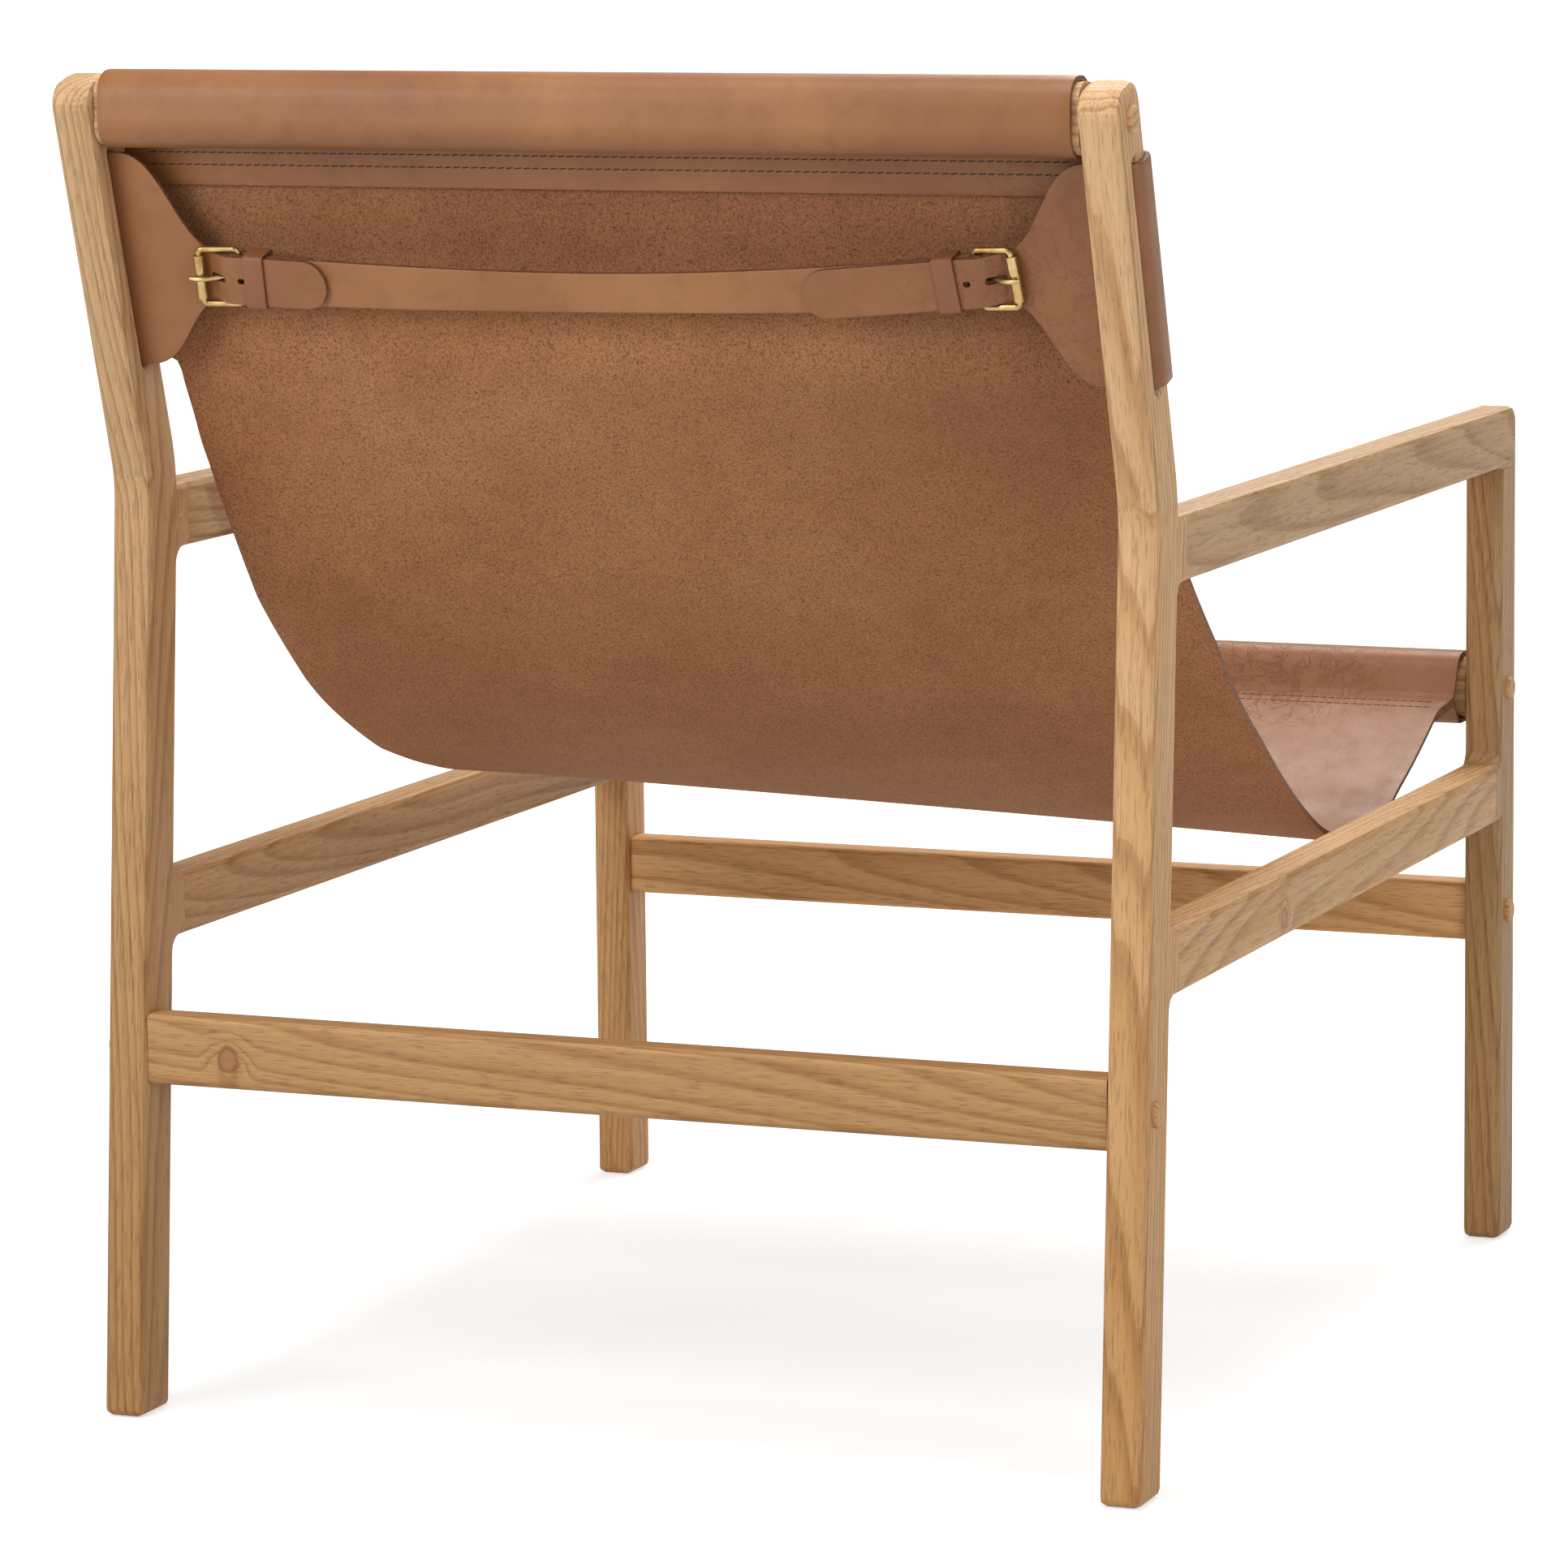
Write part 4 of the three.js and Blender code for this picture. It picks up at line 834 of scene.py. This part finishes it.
# The seams: waxed dark brown thread, lock stitched 5.5 mm apart in two rows through both layers,
# at the fold under the back bar and behind the seat bar. Each stitch sinks into the leather.
dark_thread, thread_tree, thread_shader, thread_place = material("waxed_brown_thread")
thread_twist = node(thread_tree, "ShaderNodeTexWave", {
    "Vector": thread_place, "Scale": 700.0, "Distortion": 1.0,
}).outputs["Fac"]
fill(thread_tree, thread_shader, {
    "Base Color": ramp(thread_tree, thread_twist, (0.2, "#20130b"), (0.8, "#372216")),
    "Roughness": 0.85,
})
stitch_pitch = 5.5 * MM
stitch_length = 4.6 * MM
thread_width = 0.9 * MM
stitch_sink = 0.35 * MM
stitch_slant = math.radians(7)
proud = 0.05 * MM


def seam(name, start, end, out):
    """A row of stitches from start to end, each lying on the face that looks towards out."""
    bpy.ops.object.select_all(action="DESELECT")
    bpy.ops.mesh.primitive_uv_sphere_add(segments=8, ring_count=6, radius=thread_width / 2)
    row = bpy.context.object
    row.name = name
    for vertex in row.data.vertices:
        vertex.co.z += (stitch_length - thread_width) / 2 * (1 if vertex.co.z > 0 else -1)
        vertex.co.x -= stitch_sink * (vertex.co.z / (stitch_length / 2)) ** 2
    along = (end - start).normalized()
    out = (out - along * out.dot(along)).normalized()
    count = int((end - start).length / stitch_pitch)
    row.data.transform(Matrix.Rotation(stitch_slant, 4, "X"))
    row.data.transform(Matrix((out, along.cross(out), along)).transposed().to_4x4())
    row.data.transform(Matrix.Translation(start + along * stitch_pitch / 2))
    apply_modifier(row, "ARRAY", count=count, use_relative_offset=False, use_constant_offset=True,
                   constant_offset_displace=along * stitch_pitch)
    smooth(row, 60)
    dress(row, dark_thread)
    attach(row, "chair")


behind_fold = panel_out + layer_step + leather / 2 + proud
post_out = from_behind(0, 0, 1) - from_behind(0, 0, 0)
for number, rise in enumerate((196 * MM, 188.5 * MM)):
    ends = [from_behind(across, rise, behind_fold) for across in (-285 * MM, 285 * MM)]
    seam(f"back_seam_{number + 1}", *ends, post_out)
for number, distance in enumerate((3.5 * MM, 10 * MM)):
    travelled = 0.0
    for before, after in zip(panel[::-1], panel[::-1][1:]):
        travelled += (before[0] - after[0]).length
        if travelled >= distance:
            break
    spot, sitter, push = after
    lifted = spot + sitter * (leather / 2 + proud)
    ends = [
        Vector((share * 283 * MM, lifted.x + push.x * share, lifted.y + push.y * share))
        for share in (-1, 1)
    ]
    seam(f"seat_seam_{number + 1}", *ends, Vector((0, sitter.x, sitter.y)))

# The strap: 2.8 mm bridle leather that draws the wings together. Each end has a slot for the prong,
# goes round a buckle's heel bar, and is turned back and glued under the strap as a chape.
strap_thickness = 2.8 * MM
strap_half = 14.25 * MM
waist_half = 11.8 * MM
strap_edge = 0.45 * MM
bend_radius = 3.45 * MM
chape_length = 48 * MM
chape_out = 0.65 * MM
point_step = 2 * MM
arc_steps = 12
strap_steps = 96
strap_left, strap_right = -heel_reach["left"], heel_reach["right"]


def chape(end, way):
    """A turned-back end's corners, from the heel bar's underside towards the strap's middle."""
    return [
        (Vector((end, -bend_radius)), 0),
        (Vector((end + way * 3 * MM, -bend_radius)), 6 * MM),
        (Vector((end + way * 15 * MM, chape_out)), 12 * MM),
        (Vector((end + way * chape_length, chape_out)), 0),
    ]


def heel_bend(end, turn):
    """The half turn round a heel bar, without its two end points."""
    angles = [math.pi * index / arc_steps for index in range(1, arc_steps)]
    return [
        Vector((end + turn * bend_radius * math.sin(angle), turn * bend_radius * math.cos(angle)))
        for angle in angles
    ]


strap_path = (
    rounded_line(chape(strap_left, 1)[::-1], point_step)
    + heel_bend(strap_left, -1)
    + [
        Vector((lerp(strap_left, strap_right, index / strap_steps), bend_radius))
        for index in range(strap_steps + 1)
    ]
    + heel_bend(strap_right, 1)
    + rounded_line(chape(strap_right, -1), point_step)
)
third = (strap_right - strap_left) / 3
sag = [
    Vector((strap_left, heel_rise["left"])),
    Vector((strap_left + third, heel_rise["left"] - third * tilt["left"])),
    Vector((strap_right - third, heel_rise["right"] - third * tilt["right"])),
    Vector((strap_right, heel_rise["right"])),
]


def hung(across, width, out):
    """A place on the strap, hung along its sagging line: along it, over its width, and out."""
    share = min(max((across - strap_left) / (strap_right - strap_left), 0), 1)
    rest = 1 - share
    point = bezier(*sag, share)
    along = (
        rest**2 * (sag[1] - sag[0])
        + 2 * rest * share * (sag[2] - sag[1])
        + share**2 * (sag[3] - sag[2])
    ).normalized()
    beyond = across - lerp(strap_left, strap_right, share)
    narrowed = width * (1 - (1 - waist_half / strap_half) * math.sin(math.pi * share) ** 2)
    place = point + along * beyond + Vector((-along.y, along.x)) * narrowed
    return from_behind(place.x, place.y, out)


# The two columns in the middle are left out round the heel bars, as the slots for the prongs
strap_widths = [-14.25, -11.5, -8, -5, -3.2, 0, 3.2, 5, 8, 11.5, 14.25]
slot_columns = (4, 5)
slot_reach = 4 * MM
strap_spots = [hung(spot.x, width * MM, spot.y) for spot in strap_path for width in strap_widths]
strap_faces = []
for index, (before, after) in enumerate(zip(strap_path, strap_path[1:])):
    centre = (before.x + after.x) / 2
    in_slot = centre < strap_left + slot_reach or centre > strap_right - slot_reach
    for column in range(len(strap_widths) - 1):
        if in_slot and column in slot_columns:
            continue
        first = index * len(strap_widths) + column
        below = first + len(strap_widths)
        strap_faces.append((first, below, below + 1, first + 1))


def edit_all(piece, action, **settings):
    pick(piece)
    bpy.ops.object.mode_set(mode="EDIT")
    bpy.ops.mesh.select_all(action="SELECT")
    action(**settings)
    bpy.ops.object.mode_set(mode="OBJECT")


strap = made_of("leather_strap", strap_spots, strap_faces)
strap_leather = tan_grain("bridle_leather_strap", ("#99643c", "#a36d42", "#aa7448"), 0.5)
dress(strap, strap_leather, flesh_side, cut_edge)
edit_all(strap, bpy.ops.mesh.delete_loose)
thicken(strap, strap_thickness, strap_edge)
smooth(strap, 50)
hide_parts("back_strap")
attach(strap, "chair")

# The keepers: bands of the same leather, skived, butted and glued round the strap, its chape and
# the billet. They bulge a little between their cut edges.
keeper_leather = tan_grain("keeper_leather", ("#875536", "#925f3d", "#9a6643"), 0.52)
keeper_setback = {"left": 7 * MM, "right": 10 * MM}
keeper_thickness = 1.5 * MM
keeper_swell = 0.25 * MM
keeper_rows = (0, 2.2, 4.4, 6.6, 8.8, 11, 12.5)
# The strap with its chape reaches 4.85 mm to each side of the heel bar, and the billet lies on it
layers_half = 4.85 * MM
slack = 0.25 * MM
to_middle = 0.8 * MM
band_corner = 1.6 * MM


def buckle_place(side):
    """A buckle's own frame: out along the strap from its heel bar, across it, and to the rear."""
    sign = 1 if side == "right" else -1
    heel = from_behind(sign * heel_reach[side], heel_rise[side], 0)
    far = from_behind(sign * (heel_reach[side] + MM), heel_rise[side] + tilt[side] * MM, 0)
    out = (from_behind(0, 0, MM) - from_behind(0, 0, 0)).normalized()
    ahead = (far - heel).normalized()
    turn = Matrix((ahead, out.cross(ahead), out)).transposed().to_4x4()
    return Matrix.Translation(heel) @ turn


low = -layers_half - slack - to_middle
high = layers_half + slack + leather + slack + to_middle
half = strap_half + 0.5 * MM + to_middle
band = rounded_line([
    (Vector((0, low)), 0),
    (Vector((half, low)), band_corner),
    (Vector((half, high)), band_corner),
    (Vector((-half, high)), band_corner),
    (Vector((-half, low)), band_corner),
    (Vector((0, low)), 0),
], 0.6 * MM)[:-1]
count = len(band)
keeper_faces = [
    (row * count + index, row * count + (index + 1) % count,
     (row + 1) * count + (index + 1) % count, (row + 1) * count + index)
    for row in range(len(keeper_rows) - 1) for index in range(count)
]
for side in ("left", "right"):
    spots = []
    for across in keeper_rows:
        swell = keeper_swell * math.sin(math.pi * across / keeper_rows[-1])
        for spot in band:
            out = spot.y + (swell if spot.y > 0 else -swell)
            spots.append(Vector((-keeper_setback[side] - across * MM, spot.x, out)))
    keeper = made_of(f"leather_keeper_{side}", spots, keeper_faces)
    keeper.data.transform(buckle_place(side))
    dress(keeper, keeper_leather, flesh_side, cut_edge)
    edit_all(keeper, bpy.ops.mesh.normals_make_consistent, inside=False)
    thicken(keeper, keeper_thickness, 0.4 * MM)
    smooth(keeper, 50)
    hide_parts(f"keeper_{side}")
    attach(keeper, f"keeper_{side}")

# The buckles: a bent and brazed brass wire frame, a turned brass roller on its toe and a drawn
# brass prong curled round its heel, all lacquered to an antique gold.
gold, gold_tree, gold_shader, gold_place = material("antique_gold_brass")
gold_tone = noise(gold_tree, gold_place, 120.0, 4.0)
gold_shades = (0.3, "#a3824f"), (0.55, "#bfa26d"), (0.75, "#cfb685")
fill(gold_tree, gold_shader, {
    "Base Color": ramp(gold_tree, gold_tone, *gold_shades),
    "Metallic": 1.0,
    "Roughness": ramp(gold_tree, gold_tone, (0.3, 0.42), (0.7, 0.3)),
})
for name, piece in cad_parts.items():
    if name.startswith(("buckle_frame_", "roller_", "prong_")):
        dress(piece, gold)

# The studio: a pale floor and white surroundings, a broad soft light near the camera, one overhead
# and two fills, set clear of the seat's mirror line, so that the shadows are faint and nothing
# glares.
bpy.ops.object.select_all(action="DESELECT")
bpy.ops.mesh.primitive_plane_add(size=40, location=(0, 0, -0.0005))
floor = bpy.context.object
floor.name = "studio_floor"
paper, paper_tree, paper_shader, paper_place = material("white_studio_paper")
paper_rays = node(paper_tree, "ShaderNodeLightPath").outputs
paper_seen = maths(paper_tree, "MAXIMUM", paper_rays["Is Camera Ray"], paper_rays["Is Glossy Ray"])
paper_reach = vector_maths(paper_tree, "LENGTH", paper_place)
paper_glow = fade(paper_tree, paper_reach, 0.7, 2.2, 0.64, 1.0)
fill(paper_tree, paper_shader, {
    "Base Color": colour("#c4c4c3"),
    "Roughness": 0.9,
    "Emission Color": (1, 1, 1, 1),
    "Emission Strength": maths(paper_tree, "MULTIPLY", paper_seen, paper_glow),
})
dress(floor, paper)

world = bpy.data.worlds.new("studio")
bpy.context.scene.world = world
world.use_nodes = True
world_tree = world.node_tree
world_tree.nodes.clear()
rays = node(world_tree, "ShaderNodeLightPath").outputs
seen = maths(world_tree, "MAXIMUM", rays["Is Camera Ray"], rays["Is Transmission Ray"])
lighting, backdrop = [
    node(world_tree, "ShaderNodeBackground", {"Color": (1, 1, 1, 1), "Strength": strength})
    for strength in (0.33, 1.0)
]
both = node(world_tree, "ShaderNodeMixShader", {
    "Fac": seen, 1: lighting.outputs[0], 2: backdrop.outputs[0],
})
node(world_tree, "ShaderNodeOutputWorld", {"Surface": both.outputs[0]})

chair_middle = Vector((0, 0, 0.45))
for name, place, size, power in (
    ("key_light", (0.9, 1.75, 1.2), 0.9, 13),
    ("top_light", (0.0, 0.9, 2.3), 1.2, 20),
    ("right_light", (-1.9, 1.6, 1.1), 1.2, 12),
    ("front_fill", (-0.2, -1.8, 2.6), 1.8, 60),
):
    lamp = bpy.data.lights.new(name, "AREA")
    lamp.size = size
    lamp.energy = power
    holder = bpy.data.objects.new(name, lamp)
    holder.location = place
    holder.rotation_euler = (chair_middle - Vector(place)).to_track_quat("-Z", "Y").to_euler()
    bpy.context.collection.objects.link(holder)

bpy.context.scene.view_settings.view_transform = "Standard"
